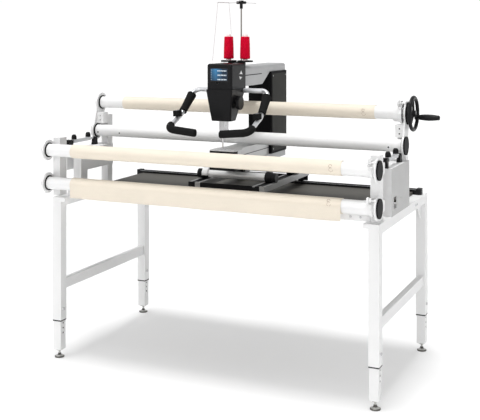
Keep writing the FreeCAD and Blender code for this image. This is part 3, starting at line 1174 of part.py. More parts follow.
def face_housing():
    """Tapered lower housing of the head with the needle sleeve, bored for bars, knob and handlebars."""
    top = rounded_rectangle(size("housing_top_half"), size("housing_top_front"), size("head_rear_y"),
                            size("head_seam"), size("housing_round"))
    low = rounded_rectangle(size("housing_bottom_half"), size("housing_bottom_front"),
                            size("housing_bottom_rear"), size("housing_bottom"), size("housing_round"))
    body = Part.makeLoft([low, top], True, True)
    half = size("guide_half")
    sleeve = Part.makeBox(2 * half, size("guide_rear - guide_front"),
                          size("housing_bottom - guide_bottom + overrun"),
                          FreeCAD.Vector(-half, size("guide_front"), size("guide_bottom")))
    body = body.fuse(sleeve)
    gap = size("bar_gap")
    low_end = size("guide_bottom - overrun")
    for bar_y, radius in (("needle_y", "needle_bar_r"), ("foot_bar_y", "foot_bar_r")):
        body = body.cut(upright(size(radius) + gap, 0, size(bar_y), low_end, size("needle_bar_top + bar_room")))
    knob = Part.makeCylinder(size("side_knob_shaft_r") + gap, size("side_knob_x"),
                             FreeCAD.Vector(size("side_knob_depth"), size("side_knob_y"), size("side_knob_z")),
                             FreeCAD.Vector(1, 0, 0))
    body = body.cut(knob)
    for side in (-1, 1):
        socket = Part.makeCylinder(size("spigot_r") + gap, size("spigot_length"),
                                   FreeCAD.Vector(side * size("bar_start_x - spigot_length + bar_room / 2"),
                                                  size("bar_start_y"), size("bar_start_z")),
                                   FreeCAD.Vector(side, 0, 0))
        body = body.cut(socket)
    return moved(body)


def needle_bar():
    """Needle bar with its clamp and needle."""
    bar = rod("Z", "needle_bar_r", ("0", "needle_y", "needle_clamp_z"), "needle_bar_top - needle_clamp_z")
    clamp = rod("Z", "needle_clamp_r", ("0", "needle_y", "needle_clamp_z"), "needle_clamp_height")
    screw = rod("X", "needle_bar_r / 2", ("0", "needle_y", "needle_clamp_z + needle_clamp_height / 2"),
                "needle_clamp_r + needle_bar_r")
    needle = cone("Z", "needle_r / 4", "needle_r", ("0", "needle_y", "needle_tip"), "needle_point")
    shank = rod("Z", "needle_r", ("0", "needle_y", "needle_tip + needle_point"),
                "needle_clamp_z - needle_tip - needle_point")
    return join(bar, clamp, screw, needle, shank)


def hopping_foot():
    """Presser bar with the small ring foot round the needle."""
    bar = rod("Z", "foot_bar_r", ("0", "foot_bar_y", "foot_z"), "foot_bar_top - foot_z")
    ring = rod("Z", "foot_ring_r", ("0", "needle_y", "foot_z"), "foot_thick")
    link = box(("-foot_bar_r", "foot_bar_r"), ("foot_bar_y", "needle_y - foot_ring_hole"),
               ("foot_z", "foot_z + foot_thick"))
    hole = rod("Z", "foot_ring_hole", ("0", "needle_y", "foot_z - overrun"), "foot_thick + 2 * overrun")
    return cut(join(bar, ring, link), hole)


def side_knob():
    """Round hand knob on the head's right side, with its shaft."""
    spot = ("side_knob_y", "side_knob_z")
    knob = round_edges(rod("X", "side_knob_r", ("side_knob_x", *spot), "side_knob_thick"), "knob_round",
                       lambda edge: edge.BoundBox.XMin > size("side_knob_x - origin_x + side_knob_thick / 2"))
    grips = []
    for step in range(SIZES["knob_scallops"]):
        angle = f"{step} * 360 / knob_scallops"
        grips.append(rod("X", "scallop_r",
                         ("side_knob_x - overrun", f"side_knob_y + side_knob_r * cos({angle})",
                                            f"side_knob_z + side_knob_r * sin({angle})"),
                         "side_knob_thick + 2 * overrun"))
    shaft = rod("X", "side_knob_shaft_r", ("side_knob_depth + bar_room", *spot),
                "side_knob_x - side_knob_depth - bar_room")
    return join(cut(knob, *grips), shaft)


# Thread stand, cones and thread.

def wire_path(points, radius):
    """Thin round wire through a few points, as balls and bars."""
    shapes = []
    for start, end in zip(points[:-1], points[1:]):
        step = end - start
        shapes.append(Part.makeCylinder(radius, step.Length, start, step))
    for point in points:
        shapes.append(Part.makeSphere(radius, point))
    return shapes[0].multiFuse(shapes[1:])


def point(*words):
    """Point from three named sizes."""
    return FreeCAD.Vector(*(size(word) for word in words))


def tray(side):
    """Round spool tray with a low lip, and its upright pin."""
    x = frame_x(side, "spool_x")
    dish = turned("Z", [("0", "0"), ("tray_r", "0"), ("tray_r", "tray_thick + tray_lip"),
                        ("tray_r - tray_lip", "tray_thick + tray_lip"), ("tray_r - tray_lip", "tray_thick"),
                        ("0", "tray_thick")], (x, "spool_y", "tray_z"))
    return [dish, rod("Z", "pin_r", (x, "spool_y", "tray_floor"), "pin_length")]


def spool_stand():
    """Stand on the arm with two trays, the mast, its cap and the two wire thread guides."""
    foot = box(("-stand_foot_half", "stand_foot_half"), ("spool_y - stand_bar_half", "stand_foot_rear"),
               ("arm_crown", "tray_z"))
    bar = box(("-spool_x", "spool_x"), ("spool_y - stand_bar_half", "spool_y + stand_bar_half"),
              ("tray_z - stand_bar_half", "tray_z"))
    mast = rod("Z", "mast_r", ("0", "mast_y", "tray_z"), "mast_cap_low - tray_z")
    stem = rod("Z", "mast_stem_r", ("0", "mast_y", "mast_cap_low"), "mast_bar_low - mast_cap_low")
    cap = box(("-mast_cap_half", "mast_cap_half"), ("mast_y - mast_cap_depth", "mast_y + mast_cap_depth"),
              ("mast_bar_low", "mast_bar_high"))
    cap = round_edges(cap, "mast_round", lambda edge: along(edge, "Y"))
    dome = rod("Z", "mast_dome_r", ("0", "mast_y", "mast_bar_high"), "mast_cap_top - mast_bar_high")
    return group(join(foot, bar), mast, join(stem, cap, dome), *tray(-1), *tray(1), guide_wires())


def guide_wires():
    """Two wire arms from the mast cap, with the rings that guide the thread."""
    middle = "(mast_bar_low + mast_bar_high) / 2"
    beside = point("eyelet_x + eyelet_r + 2 * arm_wire_r", "eyelet_y", "guide_z")
    stops = [point("-mast_cap_half / 2", "mast_y - mast_cap_depth", middle), beside]
    stops.append(toward(point("guide_front_x", "guide_front_y", "guide_z"), beside))
    wires = [sweep(bent_path(stops, [size("eyelet_r")]), size("wire_core_r"))]
    start = point("mast_cap_half / 2", "mast_y + mast_cap_depth", middle)
    end = toward(point("guide_rear_x", "guide_rear_y", "guide_z"), start)
    wires.append(Part.makeCylinder(size("wire_core_r"), (end - start).Length, start, end - start))
    rings = [Part.makeTorus(size("eyelet_r"), size("arm_wire_r"), point(x, y, "guide_z"))
             for x, y in (("eyelet_x", "eyelet_y"), ("guide_front_x", "guide_front_y"),
                          ("guide_rear_x", "guide_rear_y"))]
    return moved(Part.makeCompound(wires + rings))


def toward(ring, other):
    """Place on the outside of a guide ring, on the side that faces another place."""
    return ring + (other - ring).normalize() * size("eyelet_r + arm_wire_r")


def thread_cone(side):
    """Cone of thread: a pale core with the wound body on it."""
    x = frame_x(side, "spool_x")
    bore = rod("Z", "pin_r + cone_bore_gap", (x, "spool_y", "core_low - overrun"),
               "core_high - core_low + 2 * overrun")
    core = cut(rod("Z", "cone_core_r", (x, "spool_y", "core_low"), "core_high - core_low"), bore)
    body = cone("Z", "cone_bottom_r", "cone_top_r", (x, "spool_y", "cone_low"), "cone_high - cone_low")
    inner = rod("Z", "cone_core_r + layer_gap", (x, "spool_y", "cone_low - overrun"),
                "cone_high - cone_low + 2 * overrun")
    smooth = round_edges(body, "cone_round", lambda edge: edge.Curve.TypeId == "Part::GeomCircle")
    return group(core, cut(smooth, inner))


def thread():
    """Thread from the left cone through two eyelets down to the head."""
    half = size("thread_r")
    start = point("-spool_x + cone_core_r + 2 * layer_gap + 2 * thread_r", "spool_y", "core_high + thread_gap")
    stops = [start, point("eyelet_x", "eyelet_y", "thread_high"),
             point("guide_front_x", "guide_front_y", "thread_high"),
             point("thread_end_x", "thread_end_y", "head_top + thread_gap")]
    return moved(wire_path(stops, half))


# Handlebars.

def bent_path(stops, bends):
    """Wire through the stops with round bends at the inner ones."""
    edges = []
    last = stops[0]
    for index, radius in enumerate(bends, 1):
        corner = stops[index]
        back = (stops[index - 1] - corner).normalize()
        ahead = (stops[index + 1] - corner).normalize()
        half = back.getAngle(ahead) / 2
        reach = radius / math.tan(half)
        middle = (back + ahead).normalize() * (radius / math.sin(half) - radius)
        first, second = corner + back * reach, corner + ahead * reach
        edges.append(Part.LineSegment(last, first).toShape())
        edges.append(Part.Arc(first, corner + middle, second).toShape())
        last = second
    edges.append(Part.LineSegment(last, stops[-1]).toShape())
    return Part.Wire(edges)


def sweep(path, radius):
    """Round bar along a path."""
    start = path.Edges[0].Vertexes[0].Point
    direction = path.Edges[0].tangentAt(path.Edges[0].FirstParameter)
    circle = Part.Wire([Part.Circle(start, direction, radius).toShape()])
    return path.makePipeShell([circle], True, False)


def bar_stops(side):
    """Stops of one handlebar from the head to its front end."""
    names = ("bar_start", "shoulder", "knee", "elbow", "bar_end")
    return [point(f"{side} * {name}_x", f"{name}_y", f"{name}_z") for name in names]


def foam_stops(side):
    """Stops of the foam sleeve, from the lower slope round the elbow to the end."""
    knee, elbow, end = bar_stops(side)[2:]
    return [knee + (elbow - knee) * size("foam_start_share"), elbow, end]


def handlebar(side):
    """Bent tube with the spigot that turns in the head."""
    path = bent_path(bar_stops(side), [size("shoulder_radius"), size("knee_radius"), size("elbow_radius")])
    bar = sweep(path, size("bar_r"))
    spigot = Part.makeCylinder(size("spigot_r"), size("spigot_length - bar_room"), bar_stops(side)[0],
                               FreeCAD.Vector(-side, 0, 0))
    return moved(bar.fuse(spigot))


def grips(side):
    """Contoured grip, button pod and foam sleeve of one handlebar."""
    stops = bar_stops(side)
    clear = size("bar_r + grip_skin")
    slope = (stops[2] - stops[1]).normalize()
    start = stops[1] + slope * size("grip_start")
    length = size("grip_length")
    top, low = size("grip_top_r"), size("grip_low_r")
    waist = (top + low) / 2 - size("grip_waist")
    vector = FreeCAD.Vector
    curve = Part.BSplineCurve()
    curve.interpolate([vector(top, 0, 0), vector(waist, 0, length / 2), vector(low, 0, length)])
    edges = [curve.toShape(), Part.LineSegment(vector(low, 0, length), vector(clear, 0, length)).toShape(),
             Part.LineSegment(vector(clear, 0, length), vector(clear, 0, 0)).toShape(),
             Part.LineSegment(vector(clear, 0, 0), vector(top, 0, 0)).toShape()]
    grip = Part.Face(Part.Wire(edges)).revolve(vector(), vector(0, 0, 1), 360)
    grip.Placement = FreeCAD.Placement(start, FreeCAD.Rotation(vector(0, 0, 1), slope))
    foam_path = bent_path(foam_stops(side), [size("elbow_radius")])
    foam = sweep(foam_path, size("foam_r")).cut(sweep(foam_path, size("bar_r + foam_skin")))
    return moved(Part.makeCompound([grip, foam, button_pod(side)]))


def button_pod(side):
    """Small box on the bar with two pockets for the buttons."""
    x = side * size("knee_x")
    half = size("pod_half")
    low, high = size("pod_low"), size("pod_high")
    front, rear = size("pod_front_y"), size("pod_rear_y")
    body = Part.makeBox(2 * half, rear - front, high - low, FreeCAD.Vector(x - half, front, low))
    knee, elbow = bar_stops(side)[2:4]
    slope = elbow - knee
    body = body.cut(Part.makeCylinder(size("bar_r + grip_skin"), slope.Length, knee, slope))
    body = max(body.Solids, key=lambda solid: solid.CenterOfMass.z)
    for y in button_places():
        body = body.cut(upright(size("button_r + pin_gap"), x, y, high - size("button_depth"),
                                high + size("overrun")))
    return body


def button_places():
    """Where the two buttons sit along one bar."""
    middle = size("(pod_front_y + pod_rear_y) / 2")
    return [middle - size("button_spread / 2"), middle + size("button_spread / 2")]


def buttons(side):
    """Two push buttons in the pod's pockets."""
    x = side * size("knee_x")
    low = size("pod_high - button_depth + button_travel + thread_gap")
    return moved(Part.makeCompound([upright(size("button_r"), x, y, low, size("pod_high + button_proud"))
                                    for y in button_places()]))


# All the named sub-parts.

def build_stand():
    """Frame, table, tracks and legs."""
    node("left_end_frame", end_frame(-1))
    node("right_end_frame", end_frame(1))
    node("cross_beams", cross_beams())
    node("table_top", table_top())
    node("track_rails", group(track("front_track_y", "table_top", "front_track_reach"),
                              track("rear_track_y", "leg_top", "track_reach")))
    node("track_end_caps", track_end_caps())
    node("frame_bolts", frame_bolts())
    for name, side, end in (("front_left", -1, -1), ("front_right", 1, -1), ("rear_left", -1, 1),
                            ("rear_right", 1, 1)):
        node(f"leg_insert_{name}", leg_insert(side, end))


def build_poles():
    """Consoles, posts, plates, poles, cloths, pawls and clamps."""
    node("left_console", console(-1))
    node("right_console", console(1))
    node("pole_posts", pole_posts())
    node("bearing_plates", bearing_plates())
    node("bearing_rings", bearing_rings())
    node("pawl_take_up", pawl("take_up_y", "take_up_pawl_z"))
    node("pawl_upper", pawl("front_pole_y", "upper_pole_z"))
    node("pawl_lower", pawl("front_pole_y", "lower_pole_z"))
    node("clamp_rods", clamp_rods())
    node("clamp_slider_left", clamp_slider(-1))
    node("clamp_slider_right", clamp_slider(1))
    for name in POLES:
        node(name, pole(name))
    node("take_up_leader", leader("take_up_pole"))
    node("upper_leader", leader("upper_front_pole"))
    node("lower_leader", leader("lower_front_pole"))
    node("hanging_leader", hanging_leader())
    node("handwheel", handwheel())
    node("crank_grip", crank_grip())


def build_machine():
    """Carriage, machine, thread stand and handlebars."""
    node("carriage_rails", carriage_rails())
    node("carriage_crossbars", carriage_crossbars())
    node("left_carriage_wheels", carriage_wheels(-1))
    node("right_carriage_wheels", carriage_wheels(1))
    node("axle_housings", axle_housings())
    node("front_wheels", machine_wheels("axle_front_y"))
    node("rear_wheels", machine_wheels("axle_rear_y"))
    for name, make in (("machine_base", machine_base), ("bed_arm", bed_arm), ("needle_plate", needle_plate),
                       ("column_cover", column_cover), ("arm_casting", arm_casting),
                       ("head_cover", head_cover), ("touchscreen", touchscreen),
                       ("face_housing", face_housing), ("needle_bar", needle_bar),
                       ("hopping_foot", hopping_foot), ("side_knob", side_knob),
                       ("spool_stand", spool_stand), ("thread", thread)):
        node(name, make())
    for name, side in (("left", -1), ("right", 1)):
        node(f"cone_{name}", thread_cone(side))
        node(f"handlebar_{name}", handlebar(side))
        node(f"grips_{name}", grips(side))
        node(f"buttons_{name}", buttons(side))


def check_all():
    """Stop on any object that failed, before anything is written."""
    for obj in doc.Objects:
        state = [word for word in obj.State if word in ("Invalid", "Error")]
        if state:
            raise RuntimeError(f"{obj.Name} ({obj.TypeId}) is {state}")
    for name, obj in parts.items():
        if obj.Shape.isNull() or not obj.Shape.isValid() or not obj.Shape.Solids:
            raise RuntimeError(f"{name} has no valid solid")


build_stand()
build_poles()
build_machine()
doc.recompute()
check_all()
os.makedirs("parts", exist_ok=True)
for name, obj in parts.items():
    obj.Shape.exportStep(f"parts/{name}.step")
    box_of = obj.Shape.BoundBox
    print(name, len(obj.Shape.Solids), [round(value, 1) for value in
                                        (box_of.XMin, box_of.XMax, box_of.YMin, box_of.YMax, box_of.ZMin,
                                         box_of.ZMax)])
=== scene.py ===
"""Longarm quilting machine on its frame: finishes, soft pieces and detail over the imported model."""

from __future__ import annotations

import logging
import math
import random
from dataclasses import dataclass, field
from enum import Enum
from typing import Iterable, Sequence

import bmesh
import bpy
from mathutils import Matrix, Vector

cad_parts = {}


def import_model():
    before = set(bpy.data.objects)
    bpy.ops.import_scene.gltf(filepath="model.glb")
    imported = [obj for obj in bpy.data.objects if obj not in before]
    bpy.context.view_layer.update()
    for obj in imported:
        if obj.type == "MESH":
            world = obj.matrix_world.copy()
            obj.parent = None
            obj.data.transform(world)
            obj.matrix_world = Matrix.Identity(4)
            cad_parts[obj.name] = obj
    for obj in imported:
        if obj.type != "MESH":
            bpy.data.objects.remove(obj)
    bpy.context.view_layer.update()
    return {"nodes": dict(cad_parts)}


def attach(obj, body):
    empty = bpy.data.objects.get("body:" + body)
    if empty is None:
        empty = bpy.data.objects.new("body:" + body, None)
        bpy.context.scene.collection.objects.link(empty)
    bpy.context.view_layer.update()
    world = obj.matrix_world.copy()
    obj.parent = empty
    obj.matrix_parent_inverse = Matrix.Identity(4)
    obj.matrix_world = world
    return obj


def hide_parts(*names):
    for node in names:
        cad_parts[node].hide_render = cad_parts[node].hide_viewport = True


log = logging.getLogger("quilting_machine")

MM = 0.001
SHIFT = Vector((-0.042, 0.019, 0.0))
LEG_X, LEG_Y = 838.0, 429.5
POLE_AXES = {"take_up": (70, 1272), "idler": (20, 1119),
             "upper": (-440, 1061), "lower": (-440, 892)}
CORNERS = ((-1, -1), (1, -1), (1, 1), (-1, 1))
Colour = tuple[float, float, float]


def place(x: float, y: float, z: float) -> Vector:
    """Turn a place in millimetres from the middle of the legs into the row's frame."""
    return Vector((x, y, z)) * MM + SHIFT


class Axis(Enum):
    """Axes that a grain or a turned shape can follow."""

    X = 0
    Y = 1
    Z = 2


class Side(Enum):
    """Left and right of the machine, seen by the operator."""

    LEFT = -1
    RIGHT = 1


# Shader maths.


class Sock:
    """A shader socket that adds Math nodes when it is used in an expression."""

    def __init__(self, tree: bpy.types.NodeTree, link: bpy.types.NodeSocket) -> None:
        """Wrap one output socket of a tree."""
        self.tree = tree
        self.link = link

    def _math(self, operation: str, first: object, second: object = None) -> "Sock":
        """Add one Math node.

        Args:
            operation: name of the node's operation.
            first: left value or socket.
            second: right value or socket, if the operation has one.

        Returns:
            The node's result.
        """
        node = self.tree.nodes.new("ShaderNodeMath")
        node.operation = operation
        for slot, value in enumerate((first, second)):
            if isinstance(value, Sock):
                self.tree.links.new(value.link, node.inputs[slot])
            elif value is not None:
                node.inputs[slot].default_value = float(value)
        return Sock(self.tree, node.outputs[0])

    def __add__(self, other: object) -> "Sock":
        """Add."""
        return self._math("ADD", self, other)

    __radd__ = __add__

    def __sub__(self, other: object) -> "Sock":
        """Subtract."""
        return self._math("SUBTRACT", self, other)

    def __rsub__(self, other: object) -> "Sock":
        """Subtract this from a number."""
        return self._math("SUBTRACT", other, self)

    def __mul__(self, other: object) -> "Sock":
        """Multiply."""
        return self._math("MULTIPLY", self, other)

    __rmul__ = __mul__

    def __gt__(self, other: object) -> "Sock":
        """Give 1 where this is greater."""
        return self._math("GREATER_THAN", self, other)

    def __lt__(self, other: object) -> "Sock":
        """Give 1 where this is less."""
        return self._math("LESS_THAN", self, other)

    def __abs__(self) -> "Sock":
        """Give the size without its sign."""
        return self._math("ABSOLUTE", self)

    def wrap(self, length: float) -> "Sock":
        """Repeat the value from zero to a length."""
        return self._math("FLOORED_MODULO", self, length)

    def sine(self) -> "Sock":
        """Give the sine of the value in radians."""
        return self._math("SINE", self)

    def clamped(self) -> "Sock":
        """Limit the value to between 0 and 1."""
        return self._math("MAXIMUM", self._math("MINIMUM", self, 1.0), 0.0)


def inside(value: Sock, low: float, high: float) -> Sock:
    """Give 1 where a value lies between two limits."""
    return (value > low) * (value < high)


class Surface:
    """Builds one material with a Principled shader."""

    def __init__(self, name: str) -> None:
        """Start an empty material of that name."""
        self.material = bpy.data.materials.new(name)
        self.material.use_nodes = True
        self.tree = self.material.node_tree
        self.tree.nodes.clear()
        self.shader = self.tree.nodes.new("ShaderNodeBsdfPrincipled")
        self.output = self.tree.nodes.new("ShaderNodeOutputMaterial").inputs["Surface"]
        self.tree.links.new(self.shader.outputs["BSDF"], self.output)
        self._object: Sock | None = None

    def node(self, kind: str, settings: dict[str, object] | None = None,
             values: dict[object, object] | None = None, out: object = 0) -> Sock:
        """Add any node.

        Args:
            kind: the node's type.
            settings: attributes that are set first.
            values: numbers, colours or sockets for its inputs.
            out: name or number of the output that is wanted.

        Returns:
            The wanted output.
        """
        node = self.tree.nodes.new(kind)
        for key, value in (settings or {}).items():
            setattr(node, key, value)
        for key, value in (values or {}).items():
            if isinstance(value, Sock):
                self.tree.links.new(value.link, node.inputs[key])
            elif isinstance(value, tuple) and len(value) == 3 and node.inputs[key].type == "RGBA":
                node.inputs[key].default_value = (*value, 1.0)
            else:
                node.inputs[key].default_value = value
        return Sock(self.tree, node.outputs[out])

    def spot(self) -> Sock:
        """Give the Object coordinates."""
        if self._object is None:
            self._object = self.node("ShaderNodeTexCoord", out="Object")
        return self._object

    def split(self, vector: Sock) -> tuple[Sock, Sock, Sock]:
        """Give a vector's three numbers."""
        parts = self.tree.nodes.new("ShaderNodeSeparateXYZ")
        self.tree.links.new(vector.link, parts.inputs[0])
        return tuple(Sock(self.tree, parts.outputs[index]) for index in range(3))

    def axes(self) -> tuple[Sock, Sock, Sock]:
        """Give the Object coordinates as three numbers."""
        return self.split(self.spot())

    def noise(self, scale: float, detail: float = 2.0, stretch: Sequence[float] = (1, 1, 1),
              roughness: float = 0.5) -> Sock:
        """Give a noise value on the Object coordinates."""
        mapped = self.node("ShaderNodeMapping", {},
                           {"Vector": self.spot(), "Scale": tuple(stretch)})
        wanted = {"Vector": mapped, "Scale": scale, "Detail": detail, "Roughness": roughness}
        return self.node("ShaderNodeTexNoise", {}, wanted, "Fac")

    def blend(self, factor: object, first: object, second: object) -> Sock:
        """Mix two colours."""
        inputs = {0: factor, 6: first, 7: second}
        return self.node("ShaderNodeMix", {"data_type": "RGBA"}, inputs, 2)

    def tint(self, factor: Sock, colour: Colour, first: float, second: float) -> None:
        """Let the base colour run from one brightness of a colour to another."""
        self.set("Base Color", self.blend(factor, shade(colour, first), shade(colour, second)))

    def bump(self, height: Sock, distance: float, strength: float = 1.0) -> None:
        """Press a height into the shader's normal."""
        self.set("Normal", self.node("ShaderNodeBump", {}, {
            "Height": height, "Distance": distance, "Strength": strength}, "Normal"))

    def set(self, name: str, value: object) -> None:
        """Set or link one of the shader's sockets."""
        socket = self.shader.inputs[name]
        if isinstance(value, Sock):
            self.tree.links.new(value.link, socket)
        elif isinstance(value, tuple) and len(value) == 3:
            socket.default_value = (*value, 1.0)
        else:
            socket.default_value = value


def shade(colour: Colour, amount: float) -> Colour:
    """Make a colour lighter or darker by a factor."""
    return tuple(min(1.0, part * amount) for part in colour)


# Finishes.


@dataclass(frozen=True)
class Finish:
    """Common parts of every finish: a name, a colour and a gloss."""

    name: str
    colour: Colour
    roughness: float = 0.4

    def build(self) -> bpy.types.Material:
        """Make the material."""
        surface = Surface(self.name)
        self.dress(surface)
        return surface.material

    def dress(self, surface: Surface) -> None:
        """Add this finish's own nodes."""
        surface.set("Base Color", self.colour)
        surface.set("Roughness", self.roughness)


@dataclass(frozen=True)
class PowderCoat(Finish):
    """Baked paint with faint orange peel, a little soiling low down and rub marks."""

    peel: float = 0.00005
    soil: float = 0.05

    def dress(self, surface: Surface) -> None:
        """Add peel, cloudy variation and soiling near the floor."""
        cloud = surface.noise(7, 3)
        low = (1 - surface.axes()[2] * 3.2).clamped()
        dirt = (low * surface.noise(26, 4) * self.soil * 4 + cloud * 0.1).clamped()
        surface.tint(dirt, self.colour, 1.0, 0.82)
        surface.set("Roughness", surface.noise(60, 2) * 0.12 + self.roughness - 0.06)
        surface.bump(surface.noise(900, 1), self.peel, 0.5)
        surface.set("Specular IOR Level", 0.45)


@dataclass(frozen=True)
class Metal(Finish):
    """Bare or anodised metal with fine lines along one axis."""

    grain: Axis = Axis.X
    metallic: float = 1.0
    line_scale: float = 900.0

    def dress(self, surface: Surface) -> None:
        """Add the fine lines and soft smears."""
        stretch = [1.0, 1.0, 1.0]
        stretch[self.grain.value] = 0.02
        lines = surface.noise(self.line_scale, 2, stretch)
        smear = surface.noise(14, 3)
        surface.tint(lines * 0.5 + smear * 0.3, self.colour, 1.06, 0.84)
        surface.set("Roughness", lines * 0.14 + smear * 0.08 + self.roughness - 0.1)
        surface.set("Metallic", self.metallic)
        surface.bump(lines, 0.00002, 0.4)


@dataclass(frozen=True)
class Moulded(Finish):
    """Plastic with a fine texture, slightly paler where it is handled."""

    grain_height: float = 0.00006
    grain_scale: float = 1400.0

    def dress(self, surface: Surface) -> None:
        """Add the texture and the handled patches."""
        grain = surface.noise(self.grain_scale, 2)
        worn = surface.noise(18, 3)
        surface.tint(worn * 0.6, self.colour, 1.0, 1.5)
        surface.set("Roughness", grain * 0.1 + worn * 0.1 + self.roughness - 0.1)
        surface.bump(grain, self.grain_height, 0.6)
        surface.set("Specular IOR Level", 0.14)


@dataclass(frozen=True)
class Laminate(Finish):
    """Dark board with a speckled matt face and fine scratches."""

    def dress(self, surface: Surface) -> None:
        """Add the speckle and fine scratches."""
        speck = surface.noise(1500, 1)
        scratch = surface.noise(420, 2, (0.03, 1, 1))
        surface.tint((speck > 0.62) * 0.5 + scratch * 0.15, self.colour, 1.0, 1.5)
        surface.set("Roughness", speck * 0.12 + scratch * 0.1 + self.roughness)
        surface.bump(speck, 0.00003, 0.4)


@dataclass(frozen=True)
class LeaderCloth(Finish):
    """Cream plain weave with slubs and a soft mottle."""

    thread_pitch: float = 0.0011

    def dress(self, surface: Surface) -> None:
        """Add the weave and slubs from the cloth's own map."""
        cloth_map = surface.node("ShaderNodeUVMap", {"uv_map": "cloth"}, out="UV")
        across, along, _ = surface.split(cloth_map)
        turn = math.tau / self.thread_pitch
        weave = (across * turn).sine() * (along * turn).sine() * 0.5 + 0.5
        slub = surface.noise(90, 3, (0.2, 1, 1))
        mottled = surface.noise(9, 3)
        surface.tint(weave * 0.3 + slub * 0.25 + mottled * 0.3, self.colour, 1.06, 0.84)
        surface.set("Roughness", weave * 0.1 + self.roughness)
        surface.set("Sheen Weight", 0.25)
        surface.bump(weave + slub * 0.8, 0.00016, 0.7)


@dataclass(frozen=True)
class WoundThread(Finish):
    """Crossed fine windings of glossy thread round an upright cone."""

    middle: tuple[float, float] = (0.0, 0.0)

    def dress(self, surface: Surface) -> None:
        """Add two crossing families of fine lines."""
        x, y, z = surface.axes()
        angle = surface.node("ShaderNodeMath", {"operation": "ARCTAN2"},
                             {0: y - self.middle[1], 1: x - self.middle[0]})
        climb, lean = z * 5200, angle * 9
        lines = (climb + lean).sine() * 0.25 + (climb - lean).sine() * 0.25 + 0.5
        bands = surface.noise(30, 3, (1, 1, 6))
        surface.tint(lines * 0.55 + bands * 0.3, self.colour, 1.1, 0.6)
        surface.set("Roughness", self.roughness)
        surface.set("Specular IOR Level", 0.06)
        surface.bump(lines, 0.00022, 0.8)


@dataclass(frozen=True)
class Foam(Finish):
    """Closed cell foam: dull black with tiny pits."""

    def dress(self, surface: Surface) -> None:
        """Add cells and pressed patches."""
        cells = surface.node("ShaderNodeTexVoronoi", {}, {"Vector": surface.spot(), "Scale": 900.0},
                             "Distance")
        soft = surface.noise(40, 3)
        surface.tint(soft * 0.7, self.colour, 1.0, 2.0)
        surface.set("Roughness", self.roughness)
        surface.set("Specular IOR Level", 0.12)
        surface.bump(cells + soft * 0.5, 0.0002, 0.7)


@dataclass(frozen=True)
class ScreenPicture(Finish):
    """Dark glass with a plain picture: a blue glow and three rows of blank pale marks."""

    middle: tuple[float, float] = (0.0, 0.0)

    def dress(self, surface: Surface) -> None:
        """Draw the picture on the glass."""
        x, _, z = surface.axes()
        across, up = x - self.middle[0], z - self.middle[1]
        glass = inside(across, -0.0455, 0.0455) * inside(up, -0.0285, 0.0295)
        row = inside((up + 0.0305).wrap(0.0215), 0.0042, 0.0098) * inside(up, -0.0285, 0.0245)
        mark = (across + 0.0615).wrap(0.0085) > 0.0031
        icons = row * mark * inside(across, -0.0105, 0.0395)
        side = inside((up + 0.029).wrap(0.0115), 0.004, 0.0068) * inside(across, -0.0435, -0.0405)
        glow = (1 - abs(across + 0.018) * 26).clamped() * ((up + 0.06) * 11).clamped()
        ground = surface.blend(glow, (0.008, 0.018, 0.035), self.colour)
        shown = surface.blend((icons * 0.85 + side * 0.6).clamped(), ground, (0.62, 0.70, 0.76))
        surface.set("Base Color", surface.blend(glass, (0.012, 0.012, 0.014), shown))
        surface.set("Emission Color", surface.blend(glass, (0.0, 0.0, 0.0), shown))
        surface.set("Emission Strength", 0.55)
        surface.set("Roughness", self.roughness)
        surface.set("Specular IOR Level", 0.3)


@dataclass(frozen=True)
class Zone:
    """Block of space, in millimetres from the middle of the legs, that is painted differently."""

    x: tuple[float, float]
    y: tuple[float, float]
    z: tuple[float, float]
    colour: Colour
    metallic: float = 0.0

    def mask(self, axes: Sequence[Sock]) -> Sock:
        """Give 1 inside the block."""
        low, high = place(self.x[0], self.y[0], self.z[0]), place(self.x[1], self.y[1], self.z[1])
        spans = [inside(axis, low[index], high[index]) for index, axis in enumerate(axes)]
        return spans[0] * spans[1] * spans[2]


@dataclass(frozen=True)
class Zoned(Finish):
    """Paint or metal with other colours in some blocks of space."""

    zones: tuple[Zone, ...] = ()
    metallic: float = 0.0
    grain_scale: float = 300.0
    grain_height: float = 0.00005
    mirror: float = 0.12

    def dress(self, surface: Surface) -> None:
        """Lay every zone over the ground and let a fine cloud run through all of them."""
        axes = surface.axes()
        grain = surface.noise(self.grain_scale, 2)
        cloud = surface.noise(16, 3)
        colour: object = self.colour
        metal: object = self.metallic
        for zone in self.zones:
            mask = zone.mask(axes)
            colour = surface.blend(mask, colour, zone.colour)
            metal = mask * zone.metallic + (1 - mask) * metal
        worn = surface.node("ShaderNodeMix", {"data_type": "RGBA", "blend_type": "MULTIPLY"},
                            {0: grain * 0.3 + cloud * 0.3, 6: colour, 7: (0.72, 0.72, 0.73)}, 2)
        surface.set("Base Color", worn)
        surface.set("Metallic", metal)
        surface.set("Roughness", grain * 0.1 + cloud * 0.08 + self.roughness - 0.06)
        surface.set("Specular IOR Level", self.mirror)
        surface.bump(grain, self.grain_height, 0.5)


